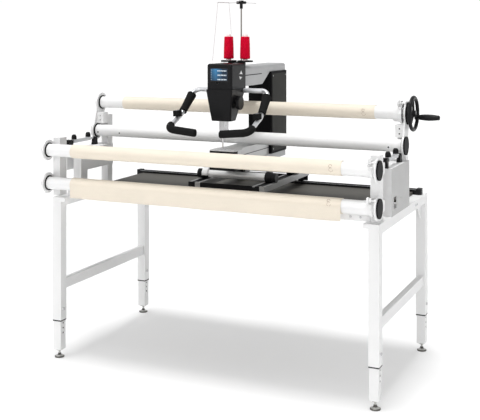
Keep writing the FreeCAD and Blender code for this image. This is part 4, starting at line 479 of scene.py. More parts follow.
@dataclass(frozen=True)
class LevelBands(Finish):
    """Paint that changes at given heights: pale foot and dark rim, with painted shade on the walls inside
    the tubes.
    """

    bands: tuple[tuple[float, Colour, float], ...] = ()
    bore: float = 0.0218

    def dress(self, surface: Surface) -> None:
        """Lay each band over the paint below its height, and paint near-black shade on the inside of the
        tubes.
        """
        x, y, height = surface.axes()
        cloud = surface.noise(9, 3)
        colour: object = surface.blend(cloud * 0.2, self.colour, shade(self.colour, 0.85))
        metal: object = 0.0
        for limit, tint, shine in self.bands:
            below = height < limit
            colour = surface.blend(below, colour, tint)
            metal = below * shine + (1 - below) * metal
        # Painted shade: the walls inside the leg tubes above 90 mm are painted near black, as shade seen
        # through the lock holes.
        spans = [abs(abs(axis - SHIFT[index]) - middle) < self.bore
                 for index, (axis, middle) in enumerate(((x, LEG_X * MM), (y, LEG_Y * MM)))]
        inner = spans[0] * spans[1] * (height > 0.09)
        surface.set("Base Color", surface.blend(inner, colour, (0.012, 0.012, 0.012)))
        surface.set("Metallic", metal)
        surface.set("Roughness", cloud * 0.1 + self.roughness)
        surface.bump(surface.noise(700, 1), 0.00005, 0.4)


class Palette:
    """All finishes of the machine, made once and handed out by name."""

    def __init__(self) -> None:
        """Make every material."""
        white: Colour = (0.86, 0.86, 0.86)
        black: Colour = (0.010, 0.010, 0.011)
        silver: Colour = (0.62, 0.63, 0.64)
        lip: Colour = (0.44, 0.44, 0.44)
        wire: Colour = (0.62, 0.60, 0.60)
        panel: Colour = (0.052, 0.052, 0.048)
        far, front_bar, wires = (-2000.0, 2000.0), (-400, -150), (1806, 1830)
        finishes: list[Finish] = [
            PowderCoat("white_coat", white, 0.38),
            PowderCoat("white_pole", (0.88, 0.88, 0.88), 0.3, soil=0.02),
            LevelBands("leg_insert", (0.86, 0.86, 0.86), 0.35,
                       bands=((0.0418, (0.52, 0.52, 0.50), 0.2),
                              (0.0218, (0.11, 0.108, 0.10), 0.3),
                              (0.0119, (0.62, 0.62, 0.60), 0.3),
                              (0.0068, (0.11, 0.107, 0.095), 0.2))),
            Zoned("console_paint", white, 0.38, zones=(
                # Painted shade: the outer side sheet of the right console (x 865 to 867) is painted grey
                # for the shade on its side face.
                Zone((865, 867), far, far, (0.56, 0.56, 0.555)),)),
            Metal("zinc_bolt", (0.60, 0.60, 0.61), 0.38),
            Metal("bar_silver", (0.70, 0.71, 0.73), 0.34, grain=Axis.Y, metallic=0.7),
            Metal("axle_silver", (0.88, 0.88, 0.88), 0.34, grain=Axis.X, metallic=0.25),
            Metal("polished_steel", (0.72, 0.72, 0.74), 0.24, grain=Axis.Z),
            Zoned("rail_grey", (0.42, 0.42, 0.42), 0.42, metallic=0.6, zones=(
                # Painted shade: black bands along the top of each rail paint the shade in its central
                # wheel groove.
                Zone((-195.6, -159.4), far, (904.0, 907.4), black),
                Zone((159.4, 195.6), far, (904.0, 907.4), black))),
            Zoned("crossbar_black", (0.011, 0.011, 0.012), 0.45, zones=(
                Zone((-173, -144), front_bar, (879, 909), lip, 0.6),
                Zone((182, 212), front_bar, (879, 909), lip, 0.6),
                Zone((144, 158), front_bar, (903, 909), lip, 0.6))),
            Zoned("track_dark", (0.016, 0.016, 0.017), 0.4, metallic=0.2, zones=(
                # Painted highlight: the top band of the black track (z 848.8 to 860) is painted silver
                # metal for the highlight along it.
                Zone(far, far, (848.8, 860), silver, 0.8),)),
            Zoned("ring_paint", black, 0.36, mirror=0.02, zones=(
                Zone((-960, -904.8), far, far, (0.58, 0.58, 0.58)),)),
            Zoned("arm_silver", (0.50, 0.505, 0.51), 0.32, metallic=0.5, zones=(
                Zone((-100, 100), (-110, 122), (1446.6, 1451.4), black),)),
            Zoned("base_paint", (0.46, 0.465, 0.47), 0.36, metallic=0.45, zones=(
                # Painted shade: the base's front face and the yoke under it (z 900 to 979) are painted
                # black for the shade beneath the machine body.
                Zone(far, (-200, -91.0), far, black), Zone(far, (-200, 0), (900, 978.9), black))),
            Zoned("bed_paint", (0.72, 0.725, 0.72), 0.33, metallic=0.35, zones=(
                Zone((-100, 100), (-400, -218), (900, 1078.6), black),
                Zone((-100, 100), (-218, -88), (900, 1004), black),
                Zone((-100, 100), (-218, 400), (1044.5, 1048.5), black))),
            Zoned("column_paint", black, 0.42, mirror=0.03, zones=(
                Zone((68.2, 80), far, far, panel), Zone((-80, -68.2), far, far, panel),
                Zone((69.7, 80), far, far, silver, 0.9),
                Zone((-80, -69.7), far, far, silver, 0.9))),
            Zoned("head_paint", black, 0.27, grain_height=0.00001),
            Zoned("housing_paint", black, 0.27, grain_height=0.00001, zones=(
                Zone((-30, 30), far, (1100, 1228.8), (0.70, 0.70, 0.71), 0.6),)),
            Zoned("clamp_paint", black, 0.42, zones=(
                Zone(far, (-244, -45), (1076, 1090), silver, 0.75),)),
            Zoned("slider_paint", black, 0.42, zones=(
                Zone(far, far, (1070, 1093.4), silver, 0.75),)),
            Zoned("stand_paint", black, 0.4, zones=(
                Zone((-4.5, 4.5), (-19, -9), (1517, 1789.8), (0.26, 0.235, 0.21), 0.7),
                Zone((-2000, -25), far, wires, wire, 0.5), Zone((25, 2000), far, wires, wire, 0.5),
                Zone((-25, 25), (-400, -25), wires, wire, 0.5))),
            Laminate("dark_board", (0.055, 0.052, 0.044), 0.5),
            Moulded("black_plastic", (0.012, 0.012, 0.013), 0.48),
            Moulded("smooth_black", (0.010, 0.010, 0.011), 0.34, grain_height=0.00002),
            Moulded("button_grey", (0.30, 0.31, 0.33), 0.35),
            LeaderCloth("leader_cloth", (0.87, 0.79, 0.67), 0.85),
            Foam("foam_black", (0.008, 0.008, 0.008), 0.92),
            Moulded("pale_card", (0.80, 0.66, 0.66), 0.8),
            Moulded("stitch_brown", (0.36, 0.25, 0.19), 0.8),
            Moulded("mark_white", (0.85, 0.85, 0.85), 0.5),
            Moulded("run_thread", (0.14, 0.02, 0.035), 0.7),
        ]
        self.made: dict[str, bpy.types.Material] = {one.name: one.build() for one in finishes}

    def add(self, finish: Finish) -> bpy.types.Material:
        """Make one more finish and keep it."""
        self.made[finish.name] = finish.build()
        return self.made[finish.name]

    def get(self, name: str) -> bpy.types.Material:
        """Give the material of that name."""
        return self.made[name]


# Mesh helpers.


def linked(name: str, data: bpy.types.ID) -> bpy.types.Object:
    """Put an object with that data into the scene."""
    made = bpy.data.objects.new(name, data)
    bpy.context.scene.collection.objects.link(made)
    return made


def to_mesh(shape: bmesh.types.BMesh, name: str, outward: bool = False) -> bpy.types.Mesh:
    """Turn a shape into a mesh, on request with its faces turned outward."""
    if outward:
        bmesh.ops.recalc_face_normals(shape, faces=shape.faces)
    mesh = bpy.data.meshes.new(name)
    shape.to_mesh(mesh)
    shape.free()
    return mesh


def skin(shape: bmesh.types.BMesh, rings: Sequence[Sequence[bmesh.types.BMVert]]) -> None:
    """Join each ring of points to the next by side faces."""
    for first, second in zip(rings, rings[1:]):
        for step in range(len(first)):
            after = (step + 1) % len(first)
            shape.faces.new((first[step], first[after], second[after], second[step]))


def millimetres(points: Iterable[tuple[float, float]]) -> list[tuple[float, float]]:
    """Turn a profile in millimetres into metres."""
    return [(radius * MM, along * MM) for radius, along in points]


def finished(name: str, mesh: bpy.types.Mesh, material: bpy.types.Material, body: str) -> bpy.types.Object:
    """Make a mesh a piece of the machine.

    Args:
        name: name of the piece.
        mesh: its mesh, in the row's frame.
        material: its material.
        body: the body it moves with.

    Returns:
        The new object.
    """
    piece = linked(name, mesh)
    mesh.materials.clear()
    mesh.materials.append(material)
    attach(piece, body)
    log.info("piece %s on %s: %d faces", name, body, len(mesh.polygons))
    return piece


def smooth(mesh: bpy.types.Mesh, angle: float = 35.0) -> bpy.types.Mesh:
    """Shade a mesh smooth, keeping the edges that turn by more than the angle."""
    mesh.polygons.foreach_set("use_smooth", [True] * len(mesh.polygons))
    mesh.set_sharp_from_angle(angle=math.radians(angle))
    return mesh


def turned(name: str, profile: Sequence[tuple[float, float]], middle: Vector, axis: Vector,
           steps: int = 48) -> bpy.types.Mesh:
    """Turn a profile round an axis.

    Args:
        name: name of the mesh.
        profile: (radius, distance along the axis) points in metres, from end to end.
        middle: where the axis starts.
        axis: direction of the axis.
        steps: facets round the axis.

    Returns:
        The closed mesh.
    """
    shape = bmesh.new()
    turn = Vector((0, 0, 1)).rotation_difference(axis.normalized()).to_matrix()
    rings = []
    for radius, along in profile:
        if radius <= 0:
            rings.append([shape.verts.new(middle + turn @ Vector((0, 0, along)))])
            continue
        ring = []
        for step in range(steps):
            angle = math.tau * step / steps
            spot = Vector((radius * math.cos(angle), radius * math.sin(angle), along))
            ring.append(shape.verts.new(middle + turn @ spot))
        rings.append(ring)
    pairs = list(zip(rings, rings[1:]))
    if len(rings[0]) > 1 and len(rings[-1]) > 1:
        pairs.append((rings[-1], rings[0]))
    for first, second in pairs:
        for step in range(steps):
            after = (step + 1) % steps
            corners = [first[step % len(first)], first[after % len(first)],
                       second[after % len(second)], second[step % len(second)]]
            unique = list(dict.fromkeys(corners))
            if len(unique) > 2:
                shape.faces.new(unique)
    return smooth(to_mesh(shape, name, outward=True))


def plain(piece: bpy.types.Object, name: str) -> bpy.types.Mesh:
    """Turn an object's evaluated result into a plain mesh and remove the object."""
    bpy.context.view_layer.update()
    seen = piece.evaluated_get(bpy.context.evaluated_depsgraph_get())
    mesh = bpy.data.meshes.new_from_object(seen)
    mesh.name = name
    bpy.data.objects.remove(piece)
    return mesh


# Camera, lights and floor.


@dataclass
class Studio:
    """White floor, a soft sun and the camera at the photograph's place."""

    eye: Vector = field(default_factory=lambda: place(2058.7, -4602.4, 1700))
    turn: float = math.radians(24.24)
    lens: float = 72.8
    shift_up: float = -0.3833

    def camera(self) -> None:
        """Set up the camera."""
        lens = bpy.data.cameras.new("view")
        lens.lens, lens.sensor_width, lens.shift_y = self.lens, 36.0, self.shift_up
        lens.clip_end = 60
        seen = linked("view", lens)
        seen.location = self.eye
        seen.rotation_euler = (math.pi / 2, 0, self.turn)
        bpy.context.scene.camera = seen

    def sun(self, name: str, heading: tuple[float, float, float], strength: float,
            spread: float) -> None:
        """Add a distant light with soft shadows, which lights the floor evenly to the horizon."""
        light = bpy.data.lights.new(name, "SUN")
        light.energy, light.angle = strength, spread
        linked(name, light).rotation_euler = Vector(heading).to_track_quat("-Z", "Y").to_euler()

    def floor(self) -> None:
        """Lay the white floor, which keeps only the machine's soft shadow."""
        mesh = bpy.data.meshes.new("floor")
        reach = 40.0
        corners = [(reach * right, reach * back, 0) for right, back in CORNERS]
        mesh.from_pydata(corners, [], [(0, 1, 2, 3)])
        ground = linked("floor", mesh)
        ground.location.z = -0.0005
        surface = Surface("floor_paper")
        surface.set("Base Color", (0.93, 0.93, 0.93))
        surface.set("Roughness", 1.0)
        surface.set("Specular IOR Level", 0.0)
        glow = surface.node("ShaderNodeEmission", {}, {"Strength": 1.03})
        seen = surface.node("ShaderNodeLightPath", out="Is Camera Ray") * 0.33
        paper = Sock(surface.tree, surface.shader.outputs[0])
        mixed = surface.node("ShaderNodeMixShader", {}, {0: seen, 1: paper, 2: glow})
        surface.tree.links.new(mixed.link, surface.output)
        mesh.materials.append(surface.material)

    def sky(self) -> None:
        """Give a plain world: even light, dimmer in reflections, and white behind the machine."""
        world = bpy.data.worlds.new("studio")
        bpy.context.scene.world = world
        world.use_nodes = True
        tree = world.node_tree
        tree.nodes.clear()
        rays = tree.nodes.new("ShaderNodeLightPath").outputs
        straight, through, mirrored = (Sock(tree, rays[f"Is {kind} Ray"])
                                       for kind in ("Camera", "Transmission", "Glossy"))
        strength = (straight + through).clamped() * 0.5 + mirrored * 0.14 + 0.52
        back = tree.nodes.new("ShaderNodeBackground")
        back.inputs["Color"].default_value = (1, 1, 1, 1)
        tree.links.new(strength.link, back.inputs["Strength"])
        output = tree.nodes.new("ShaderNodeOutputWorld")
        tree.links.new(back.outputs[0], output.inputs["Surface"])

    def set_up(self) -> None:
        """Make everything in the studio."""
        self.camera()
        self.sky()
        self.sun("top", (0.04, 0.06, -1.0), 2.2, 0.32)
        self.sun("front", (0.12, 0.9, -0.36), 0.6, 0.7)
        self.floor()
        bpy.context.scene.view_settings.view_transform = "Standard"
        log.info("studio ready")


# Cloths.


def woven(name: str, places: Sequence[Sequence[Vector]],
          cloth: Sequence[Sequence[tuple[float, float]]]) -> bpy.types.Mesh:
    """Make a sheet from a grid of places.

    Args:
        name: name of the mesh.
        places: rows of places in the row's frame.
        cloth: the same rows on the flat cloth, in metres.

    Returns:
        A thin sheet, open like real cloth, before it gets its thickness.
    """
    shape = bmesh.new()
    layer = shape.loops.layers.uv.new("cloth")
    grid = [[shape.verts.new(spot) for spot in row] for row in places]
    for row in range(len(grid) - 1):
        for column in range(len(grid[0]) - 1):
            corners = ((row, column), (row, column + 1), (row + 1, column + 1), (row + 1, column))
            face = shape.faces.new([grid[up][across] for up, across in corners])
            for loop, (up, across) in zip(face.loops, corners):
                loop[layer].uv = cloth[up][across]
    return to_mesh(shape, name)


def thickened(name: str, sheet: bpy.types.Mesh, thickness: float, palette: "Palette", body: str,
              node: str) -> bpy.types.Object:
    """Give a sheet its thickness in millimetres and put it in a CAD node's place."""
    blank = linked(name, sheet)
    wall = blank.modifiers.new("wall", "SOLIDIFY")
    wall.thickness, wall.offset = thickness * MM, 0.0
    mesh = smooth(plain(blank, name), 50)
    piece = finished(name, mesh, palette.get("leader_cloth"), body)
    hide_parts(node)
    return piece


@dataclass
class LeaderRoll:
    """Cloth wound in a spiral on one pole."""

    node: str
    pole: str
    body: str
    axis_y: float
    axis_z: float
    left: float
    right: float
    inner: float = 32.15
    pitch: float = 0.92
    turns: float = 3.0
    start_turn: float = 0.0
    seed: int = 0

    def spiral(self, turn: float) -> float:
        """Give the cloth's radius after a number of turns, in millimetres."""
        return self.inner + self.pitch * turn

    def mesh(self) -> bpy.types.Mesh:
        """Make the wound strip, which wanders a little from turn to turn."""
        steps, columns = int(self.turns * 40), 60
        jitter = random.Random(self.seed)
        wander = [jitter.uniform(-1.0, 1.0) for _ in range(8)]
        width, run = (self.right - self.left) * MM, 0.0
        rows, cloth = [], []
        for step in range(steps + 1):
            turn = self.turns * step / steps
            radius = self.spiral(turn)
            angle = math.tau * (turn + self.start_turn)
            drift = wander[int(turn) % 8] * 1.6 + 0.5 * math.sin(angle * 0.5 + self.seed)
            row = []
            for column in range(columns + 1):
                share = column / columns
                x = self.left + (self.right - self.left) * share + drift * (1 - 2 * share) * 0.5
                ripple = 0.05 * math.sin(share * 31 + turn * 5) * min(1.0, turn / self.turns * 1.5)
                row.append(place(x, self.axis_y + (radius + ripple) * math.cos(angle),
                                 self.axis_z + (radius + ripple) * math.sin(angle)))
            rows.append(row)
            cloth.append([(width * column / columns, run) for column in range(columns + 1)])
            run += math.tau * radius * self.turns / steps * MM
        self.flat = (width, run)
        return woven(self.node + "_cloth", rows, cloth)

    def dress(self, palette: Palette) -> bpy.types.Object:
        """Give the strip its thickness and put it in the CAD roll's place."""
        piece = thickened(self.node + "_cloth", self.mesh(), 0.7, palette, self.body, self.node)
        return piece


@dataclass
class HangingCloth:
    """Loose end of the lower cloth, which hangs in soft waves to a stitched hem."""

    left: float = -742.0
    right: float = 691.0
    top: float = 894.0
    bottom: float = 829.6
    front: float = -475.9
    waves: float = 5.0
    depth: float = 2.2

    def waving(self, across: float, share: float, lag: float) -> float:
        """Give how far the waves move the cloth at a share of its width and of its drop."""
        wide = self.depth * share * math.sin(math.tau * self.waves * across + 0.8)
        return wide + 0.35 * share * math.sin(math.tau * 17 * across + lag)

    def mesh(self) -> bpy.types.Mesh:
        """Make the hanging sheet."""
        columns, rows = 220, 16
        width, height = (self.right - self.left) * MM, (self.top - self.bottom) * MM
        places, cloth = [], []
        for column in range(columns + 1):
            across = column / columns
            line, flat = [], []
            for row in range(rows + 1):
                share = row / rows
                out = self.waving(across, share, 2.1 * share) - self.depth * share - 0.4
                dip = 0.5 * share * math.sin(math.tau * 3 * across + 1.0)
                line.append(place(self.left + (self.right - self.left) * across, self.front + out,
                                  self.top + (self.bottom - self.top) * share + dip))
                flat.append((width * across, 0.02 + height * share))
            places.append(line)
            cloth.append(flat)
        self.flat = (width, height)
        return woven("loose_leader", places, cloth)

    def hem(self, palette: Palette) -> bpy.types.Object:
        """Sew small stitches along the lower edge, each instanced on the hem line."""
        points, count, share = [], 300, 0.93
        for step in range(count):
            across = (step + 0.5) / count
            drift = self.waving(across, share, 2.1)
            points.append(place(self.left + (self.right - self.left) * across,
                                self.front - self.depth * share + drift - 1.0,
                                self.bottom + 5.0 + 0.5 * math.sin(math.tau * 3 * across + 1.0)))
        mesh = Repeater("hem_stitches").along(points, Vector((0, -1, 0)), size=(2.6, 0.5, 0.5))
        return finished("hem_stitches", mesh, palette.get("pale_card"), "stand")

    def dress(self, palette: Palette) -> None:
        """Give the sheet its thickness and put it in the CAD sheet's place."""
        piece = thickened("loose_leader", self.mesh(), 0.8, palette, "stand", "hanging_leader")
        self.hem(palette)


# Pieces that repeat, by Geometry Nodes.


class Repeater:
    """One Geometry Nodes tree that sets a small block or disc on every point."""

    def __init__(self, name: str, disc: bool = False) -> None:
        """Build the tree.

        Args:
            name: name of the tree.
            disc: whether the repeated shape is a disc instead of a block.
        """
        self.name = name
        tree = bpy.data.node_groups.new(name, "GeometryNodeTree")
        self.tree = tree
        tree.interface.new_socket("Points", in_out="INPUT", socket_type="NodeSocketGeometry")
        self.size_socket = tree.interface.new_socket("Size", in_out="INPUT",
                                                     socket_type="NodeSocketVector")
        tree.interface.new_socket("Finish", in_out="INPUT", socket_type="NodeSocketMaterial")
        tree.interface.new_socket("Pieces", in_out="OUTPUT", socket_type="NodeSocketGeometry")
        entry, leave = tree.nodes.new("NodeGroupInput"), tree.nodes.new("NodeGroupOutput")
        if disc:
            shape = tree.nodes.new("GeometryNodeMeshCylinder")
            shape.inputs["Vertices"].default_value = 12
            shape.inputs["Radius"].default_value = 0.5
            shape.inputs["Depth"].default_value = 1.0
        else:
            shape = tree.nodes.new("GeometryNodeMeshCube")
            shape.inputs["Size"].default_value = (1, 1, 1)
        scatter = tree.nodes.new("GeometryNodeInstanceOnPoints")
        facing = tree.nodes.new("GeometryNodeInputNormal")
        align = tree.nodes.new("FunctionNodeAlignRotationToVector")
        align.axis = "Z"
        scale = tree.nodes.new("GeometryNodeScaleInstances")
        real = tree.nodes.new("GeometryNodeRealizeInstances")
        paint = tree.nodes.new("GeometryNodeSetMaterial")
        for start, end in ((entry.outputs["Points"], scatter.inputs["Points"]),
                           (shape.outputs["Mesh"], scatter.inputs["Instance"]),
                           (facing.outputs[0], align.inputs["Vector"]),
                           (align.outputs["Rotation"], scatter.inputs["Rotation"]),
                           (scatter.outputs["Instances"], scale.inputs["Instances"]),
                           (entry.outputs["Size"], scale.inputs["Scale"]),
                           (scale.outputs["Instances"], real.inputs["Geometry"]),
                           (real.outputs["Geometry"], paint.inputs["Geometry"]),
                           (entry.outputs["Finish"], paint.inputs["Material"]),
                           (paint.outputs["Geometry"], leave.inputs["Pieces"])):
            tree.links.new(start, end)

    def along(self, points: Iterable[Vector], facing: Vector,
              size: tuple[float, float, float]) -> bpy.types.Mesh:
        """Set the shape on points that all face one way.

        Args:
            points: places in the row's frame.
            facing: direction of the shape's own Z axis.
            size: size of each shape in millimetres.

        Returns:
            The result as a plain mesh.
        """
        shape = bmesh.new()
        side = facing.orthogonal().normalized() * 0.0001
        other = facing.cross(side).normalized() * 0.0001
        for spot in points:
            face = shape.faces.new([shape.verts.new(spot + step) for step in (side, other, -side)])
            face.normal_update()
            if face.normal.dot(facing) < 0:
                face.normal_flip()
        blank = linked(self.name, to_mesh(shape, self.name))
        modifier = blank.modifiers.new("repeat", "NODES")
        modifier.node_group = self.tree
        modifier[self.size_socket.identifier] = [part * MM for part in size]
        return plain(blank, self.name)


# Thread.


@dataclass
class ThreadCone:
    """Cone of thread: a pale core tube with the crossed winding on it."""

    side: Side
    x: float = 46.0
    y: float = -69.0
    low: float = 1532.0
    high: float = 1646.0
    low_radius: float = 26.0
    high_radius: float = 23.0
    core_low: float = 1521.4
    core_high: float = 1658.6
    core_radius: float = 12.9
    bore: float = 4.6

    def winding(self) -> list[tuple[float, float]]:
        """Give the winding's profile, with full shoulders and slight bands."""
        points = [(self.core_radius + 0.3, 0.0)]
        length = self.high - self.low
        for angle in range(0, 91, 15):
            turn = math.radians(angle)
            points.append((self.low_radius - 5 + 5 * math.sin(turn), 5 - 5 * math.cos(turn)))
        for step in range(1, 12):
            share = step / 12
            bow = 0.5 * math.sin(math.pi * share) + 0.12 * math.sin(share * 40)
            points.append((self.low_radius + (self.high_radius - self.low_radius) * share + bow,
                           5 + (length - 10) * share))
        for angle in range(0, 91, 15):
            turn = math.radians(angle)
            points.append((self.high_radius - 4 + 4 * math.cos(turn),
                           length - 5 + 5 * math.sin(turn)))
        points.append((self.core_radius + 0.3, length))
        return millimetres(points)

    def core(self) -> list[tuple[float, float]]:
        """Give the core tube's profile, with a rolled upper rim."""
        wide, top = self.core_radius, self.core_high - self.core_low
        return millimetres([(self.bore, 0), (wide, 0), (wide, top - 5), (wide - 1.5, top - 2),
                            (wide - 3, top), (wide - 4.5, top), (wide - 5.5, top - 3),
                            (self.bore, top - 3.5)])

    def dress(self, palette: Palette) -> None:
        """Make the winding and the core and put them in the CAD cone's place."""
        word = self.side.name.lower()
        x = self.x * self.side.value
        middle = place(x, self.y, 0)
        red = palette.add(WoundThread(f"red_thread_{word}", (0.74, 0.001, 0.03), 0.55,
                                      middle=(middle.x, middle.y)))
        up = Vector((0, 0, 1))
        for name, profile, low, steps, material in (
                (f"winding_{word}", self.winding(), self.low, 72, red),
                (f"core_{word}", self.core(), self.core_low, 48, palette.get("pale_card"))):
            mesh = turned(name, profile, place(x, self.y, low), up, steps)
            piece = finished(name, mesh, material, f"spool_{word}")
            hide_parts(f"cone_{word}")


@dataclass
class ThreadRun:
    """Taut thread from the left cone through two guide rings to the head."""

    diameter: float = 1.0
    stops: tuple[tuple[float, float, float], ...] = (
        (-31.4, -69, 1660.2), (-30, -83.8, 1726), (-28.2, -103.2, 1812), (-28, -104.6, 1820.4),
        (-29, -109, 1820.4), (-49, -186.2, 1820.4), (-50, -190.4, 1820.2), (-50.3, -191.6, 1813),
        (-55, -212, 1664), (-60, -234, 1514.2))

    def dress(self, palette: Palette) -> None:
        """Draw the thread as one smooth spline."""
        curve = bpy.data.curves.new("top_thread", "CURVE")
        curve.dimensions = "3D"
        spline = curve.splines.new("NURBS")
        spline.points.add(len(self.stops) - 1)
        for point, stop in zip(spline.points, self.stops):
            point.co = (*place(*stop), 1.0)
        spline.order_u = 3
        spline.use_endpoint_u = True
        curve.bevel_depth = self.diameter / 2 * MM
        curve.bevel_resolution = 2
        curve.materials.append(palette.get("run_thread"))
        thread = linked("top_thread", curve)
        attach(thread, "machine")
        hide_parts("thread")
        stretches = zip(self.stops, self.stops[1:])
        length = sum((Vector(a) - Vector(b)).length for a, b in stretches) * MM
        log.info("thread %.3f m", length)


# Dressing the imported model.


class Dresser:
    """Gives every packed sub-part its finish."""

    WORN: dict[str, str] = {
        "white_coat": "left_end_frame right_end_frame cross_beams left_console pole_posts "
                      "bearing_plates",
        "console_paint": "right_console",
        "white_pole": "pawl_take_up pawl_upper pawl_lower take_up_pole idler_pole upper_front_pole "
                      "lower_front_pole",
        "dark_board": "table_top",
        "track_dark": "track_rails",
        "black_plastic": "track_end_caps",
        "zinc_bolt": "frame_bolts",
        "leg_insert": "leg_insert_front_left leg_insert_front_right leg_insert_rear_left "
                      "leg_insert_rear_right",
        "ring_paint": "bearing_rings",
        "clamp_paint": "clamp_rods",
        "slider_paint": "clamp_slider_left clamp_slider_right",
        "smooth_black": "handwheel left_carriage_wheels right_carriage_wheels side_knob "
                        "front_wheels rear_wheels",
        "rail_grey": "carriage_rails",
        "crossbar_black": "carriage_crossbars",
        "base_paint": "machine_base",
        "bed_paint": "bed_arm",
        "polished_steel": "needle_plate needle_bar hopping_foot",
        "column_paint": "column_cover",
        "arm_silver": "arm_casting",
        "head_paint": "head_cover",
        "housing_paint": "face_housing",
        "stand_paint": "spool_stand",
        "axle_silver": "axle_housings",
        "bar_silver": "handlebar_left handlebar_right",
        "foam_black": "grips_left grips_right",
        "button_grey": "buttons_left buttons_right",
    }

    def __init__(self, nodes: dict[str, bpy.types.Object], palette: Palette) -> None:
        """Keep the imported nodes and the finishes."""
        self.nodes = nodes
        self.palette = palette

    def wear(self, name: str, material: bpy.types.Material) -> None:
        """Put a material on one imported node."""
        mesh = self.nodes[name].data
        if not mesh.materials:
            mesh.materials.append(material)
        for slot in range(len(mesh.materials)):
            mesh.materials[slot] = material

    def dress(self) -> None:
        """Dress every node."""
        for finish, names in self.WORN.items():
            for name in names.split():
                self.wear(name, self.palette.get(finish))
        middle = place(0, -282, 1459.5)
        picture = ScreenPicture("screen_picture", (0.035, 0.16, 0.32), 0.15,
                                middle=(middle.x, middle.z))
        self.wear("touchscreen", self.palette.add(picture))
        log.info("dressed packed nodes in %d finishes", len(self.WORN) + 1)


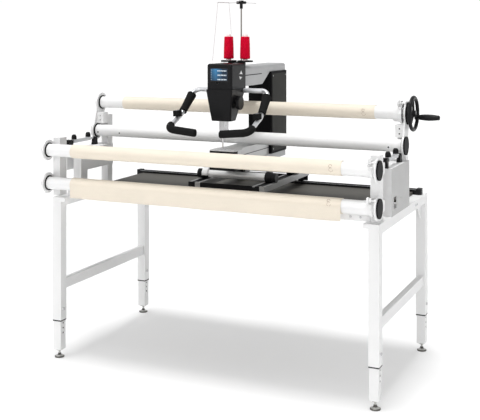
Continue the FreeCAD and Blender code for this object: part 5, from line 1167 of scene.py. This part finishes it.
@dataclass
class SmallParts:
    """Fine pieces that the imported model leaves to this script."""

    palette: Palette

    def crank_handle(self) -> None:
        """Give the crank a barrel grip: full in the middle, narrow at both ends."""
        length, shares = 105.0, 28
        profile = [(4.1, 0.0), (11.0, 0.0)]
        for step in range(shares + 1):
            share = step / shares
            radius = 12.9 - (share - 0.92) * 30
            if share < 0.92:
                radius = 11.5 + 4.3 * math.sin(math.pi * min(1.0, share * 1.08)) ** 0.8
            profile.append((radius, 1.0 + (length - 3) * share))
        profile += [(7.0, length), (0.0, length + 0.4)]
        turn = math.radians(-20)
        reach, (depth, height) = 66, POLE_AXES["take_up"]
        middle = place(895.2, depth + reach * math.cos(turn), height + reach * math.sin(turn))
        mesh = turned("crank_handle", millimetres(profile), middle, Vector((1, 0, 0)), 56)
        piece = finished("crank_handle", mesh, self.palette.get("smooth_black"), "crank")
        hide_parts("crank_grip")

    def foam_ends(self) -> None:
        """Close the lower foam grips with soft domed ends."""
        dome = [(0.0, 0.0), (18.8, 0.0), (18.6, 1.6), (17.0, 4.0), (13.0, 5.6), (0.0, 6.2)]
        profile = millimetres(dome)
        for side in Side:
            word = side.name.lower()
            mesh = turned(f"foam_end_{word}", profile, place(70.2 * side.value, -410, 1182),
                          Vector((-side.value, 0, 0)), 40)
            finished(f"foam_end_{word}", mesh, self.palette.get("foam_black"), f"handle_{word}")

    def screw_holes(self) -> None:
        """Set flat black discs of painted shade in the arm's holes, the dark sockets of panel and idler
        pole, and the round key under the screen.
        """
        depth, height = POLE_AXES["idler"]
        drop = Vector((0, -math.cos(math.radians(14)), -math.sin(math.radians(14))))
        on_pole = (depth + drop.y * 31.7, height + drop.z * 31.7)
        forward = Vector((0, -1, 0))
        rows = (
            # Painted shade: flat black discs fill the two holes in the pole post arm and paint the shade
            # inside them.
            ("arm_hole_shade", [place(828, 18.5, 1188 + step) for step in (-12, 12)], forward,
             (7.8, 7.8, 1.0), "smooth_black", "stand", "black_plastic"),
            ("panel_socket", [place(862.4, -98, 888)], Vector((1, 0, 0)), (11, 11, 0.8),
             "smooth_black", "stand", "black_plastic"),
            ("screen_key", [place(-6, -282.2, 1419)], forward, (8, 8, 1.2),
             "button_grey", "machine", "black_plastic"),
            ("set_screws", [place(x, *on_pole) for x in (-874, -736, 781)], drop, (8.4, 8.4, 1.2),
             "smooth_black", "idler_roll", "pole_white"))
        for name, points, facing, size, finish, body, slot in rows:
            mesh = Repeater(name, disc=True).along(points, facing, size)
            finished(name, mesh, self.palette.get(finish), body)

    def tube_collars(self) -> None:
        """Put a black plastic collar under each outer leg tube, round the sliding insert."""
        shape = bmesh.new()
        outer, inner, low, high = 24.8, 22.4, 188, 193.8
        for x, y in ((-LEG_X, -LEG_Y), (LEG_X, -LEG_Y), (-LEG_X, LEG_Y), (LEG_X, LEG_Y)):
            rings = [[shape.verts.new(place(x + half * right, y + half * back, z))
                      for right, back in CORNERS]
                     for half, z in ((outer, low), (outer, high), (inner, high), (inner, low))]
            skin(shape, rings + rings[:1])
        finished("tube_collars", to_mesh(shape, "tube_collars", outward=True),
                 self.palette.get("smooth_black"), "stand")

    def arrow_marks(self) -> None:
        """Print two plain arrow heads on the right side of the head."""
        shape = bmesh.new()
        for outline in (((-186, 1460), (-166, 1477), (-151, 1457), (-168, 1460)),
                        ((-190, 1449), (-172, 1446), (-155, 1444), (-180, 1432))):
            lower, upper = ([shape.verts.new(place(x, y, z)) for y, z in outline]
                            for x in (67.9, 68.25))
            shape.faces.new(lower)
            shape.faces.new(upper)
            skin(shape, [lower, upper])
        mesh = to_mesh(shape, "arrow_marks", outward=True)
        finished("arrow_marks", mesh, self.palette.get("mark_white"), "machine")

    def curl(self, name: str, body: str, axis: tuple[float, float], middle: tuple[float, float],
             loops: Sequence[tuple[float, float, float]]) -> None:
        """Sew a curl of small stitches on a rolled cloth.

        Args:
            name: name of the piece.
            body: roll it turns with.
            axis: depth and height of the roll's axis in millimetres.
            middle: place along the roll in millimetres and angle on it in degrees.
            loops: centre shifts and radius of each ring of stitches in millimetres.
        """
        radius = 35.35
        for number, (shift, climb, size) in enumerate(loops):
            points = []
            for step in range(22):
                angle = math.tau * (step + 0.5) / 26 + number
                x = middle[0] + shift + size * math.cos(angle)
                turn = math.radians(middle[1]) - (climb + size * math.sin(angle)) / radius
                points.append(place(x, axis[0] + radius * math.cos(turn),
                                    axis[1] + radius * math.sin(turn)))
            facing = math.radians(middle[1])
            outward = Vector((0, math.cos(facing), math.sin(facing)))
            word = f"{name}_{number}"
            mesh = Repeater(word, disc=True).along(points, outward, (1.5, 1.5, 0.5))
            finished(word, mesh, self.palette.get("stitch_brown"), body)

    def dress(self) -> None:
        """Make all the small parts."""
        self.crank_handle()
        self.foam_ends()
        self.screw_holes()
        self.arrow_marks()
        self.tube_collars()
        rings = ((0.0, 9.0, 7.0), (3.0, -8.0, 9.0))
        for roll, middle in (("take_up", (639, 178)), ("upper", (642, 175)), ("lower", (632, 150))):
            self.curl(roll + "_curl", roll + "_roll", POLE_AXES[roll], middle, rings)


def main() -> None:
    """Build the scene in order and report each piece."""
    logging.basicConfig(level=logging.INFO, format="%(name)s: %(message)s")
    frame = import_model()
    Studio().set_up()
    palette = Palette()
    ThreadRun().dress(palette)
    Dresser(frame["nodes"], palette).dress()
    for name, pole, left, right, start_turn, seed in (
            ("take_up", "take_up_pole", -745.5, 694.5, 0.25, 3),
            ("upper", "upper_front_pole", -747, 691, 0.6, 5),
            ("lower", "lower_front_pole", -746, 690, 0.5, 8)):
        LeaderRoll(name + "_leader", pole, name + "_roll", *POLE_AXES[name], left, right,
                   start_turn=start_turn, seed=seed).dress(palette)
    HangingCloth().dress(palette)
    for side in Side:
        ThreadCone(side).dress(palette)
    SmallParts(palette).dress()


if __name__ == "__main__":
    main()
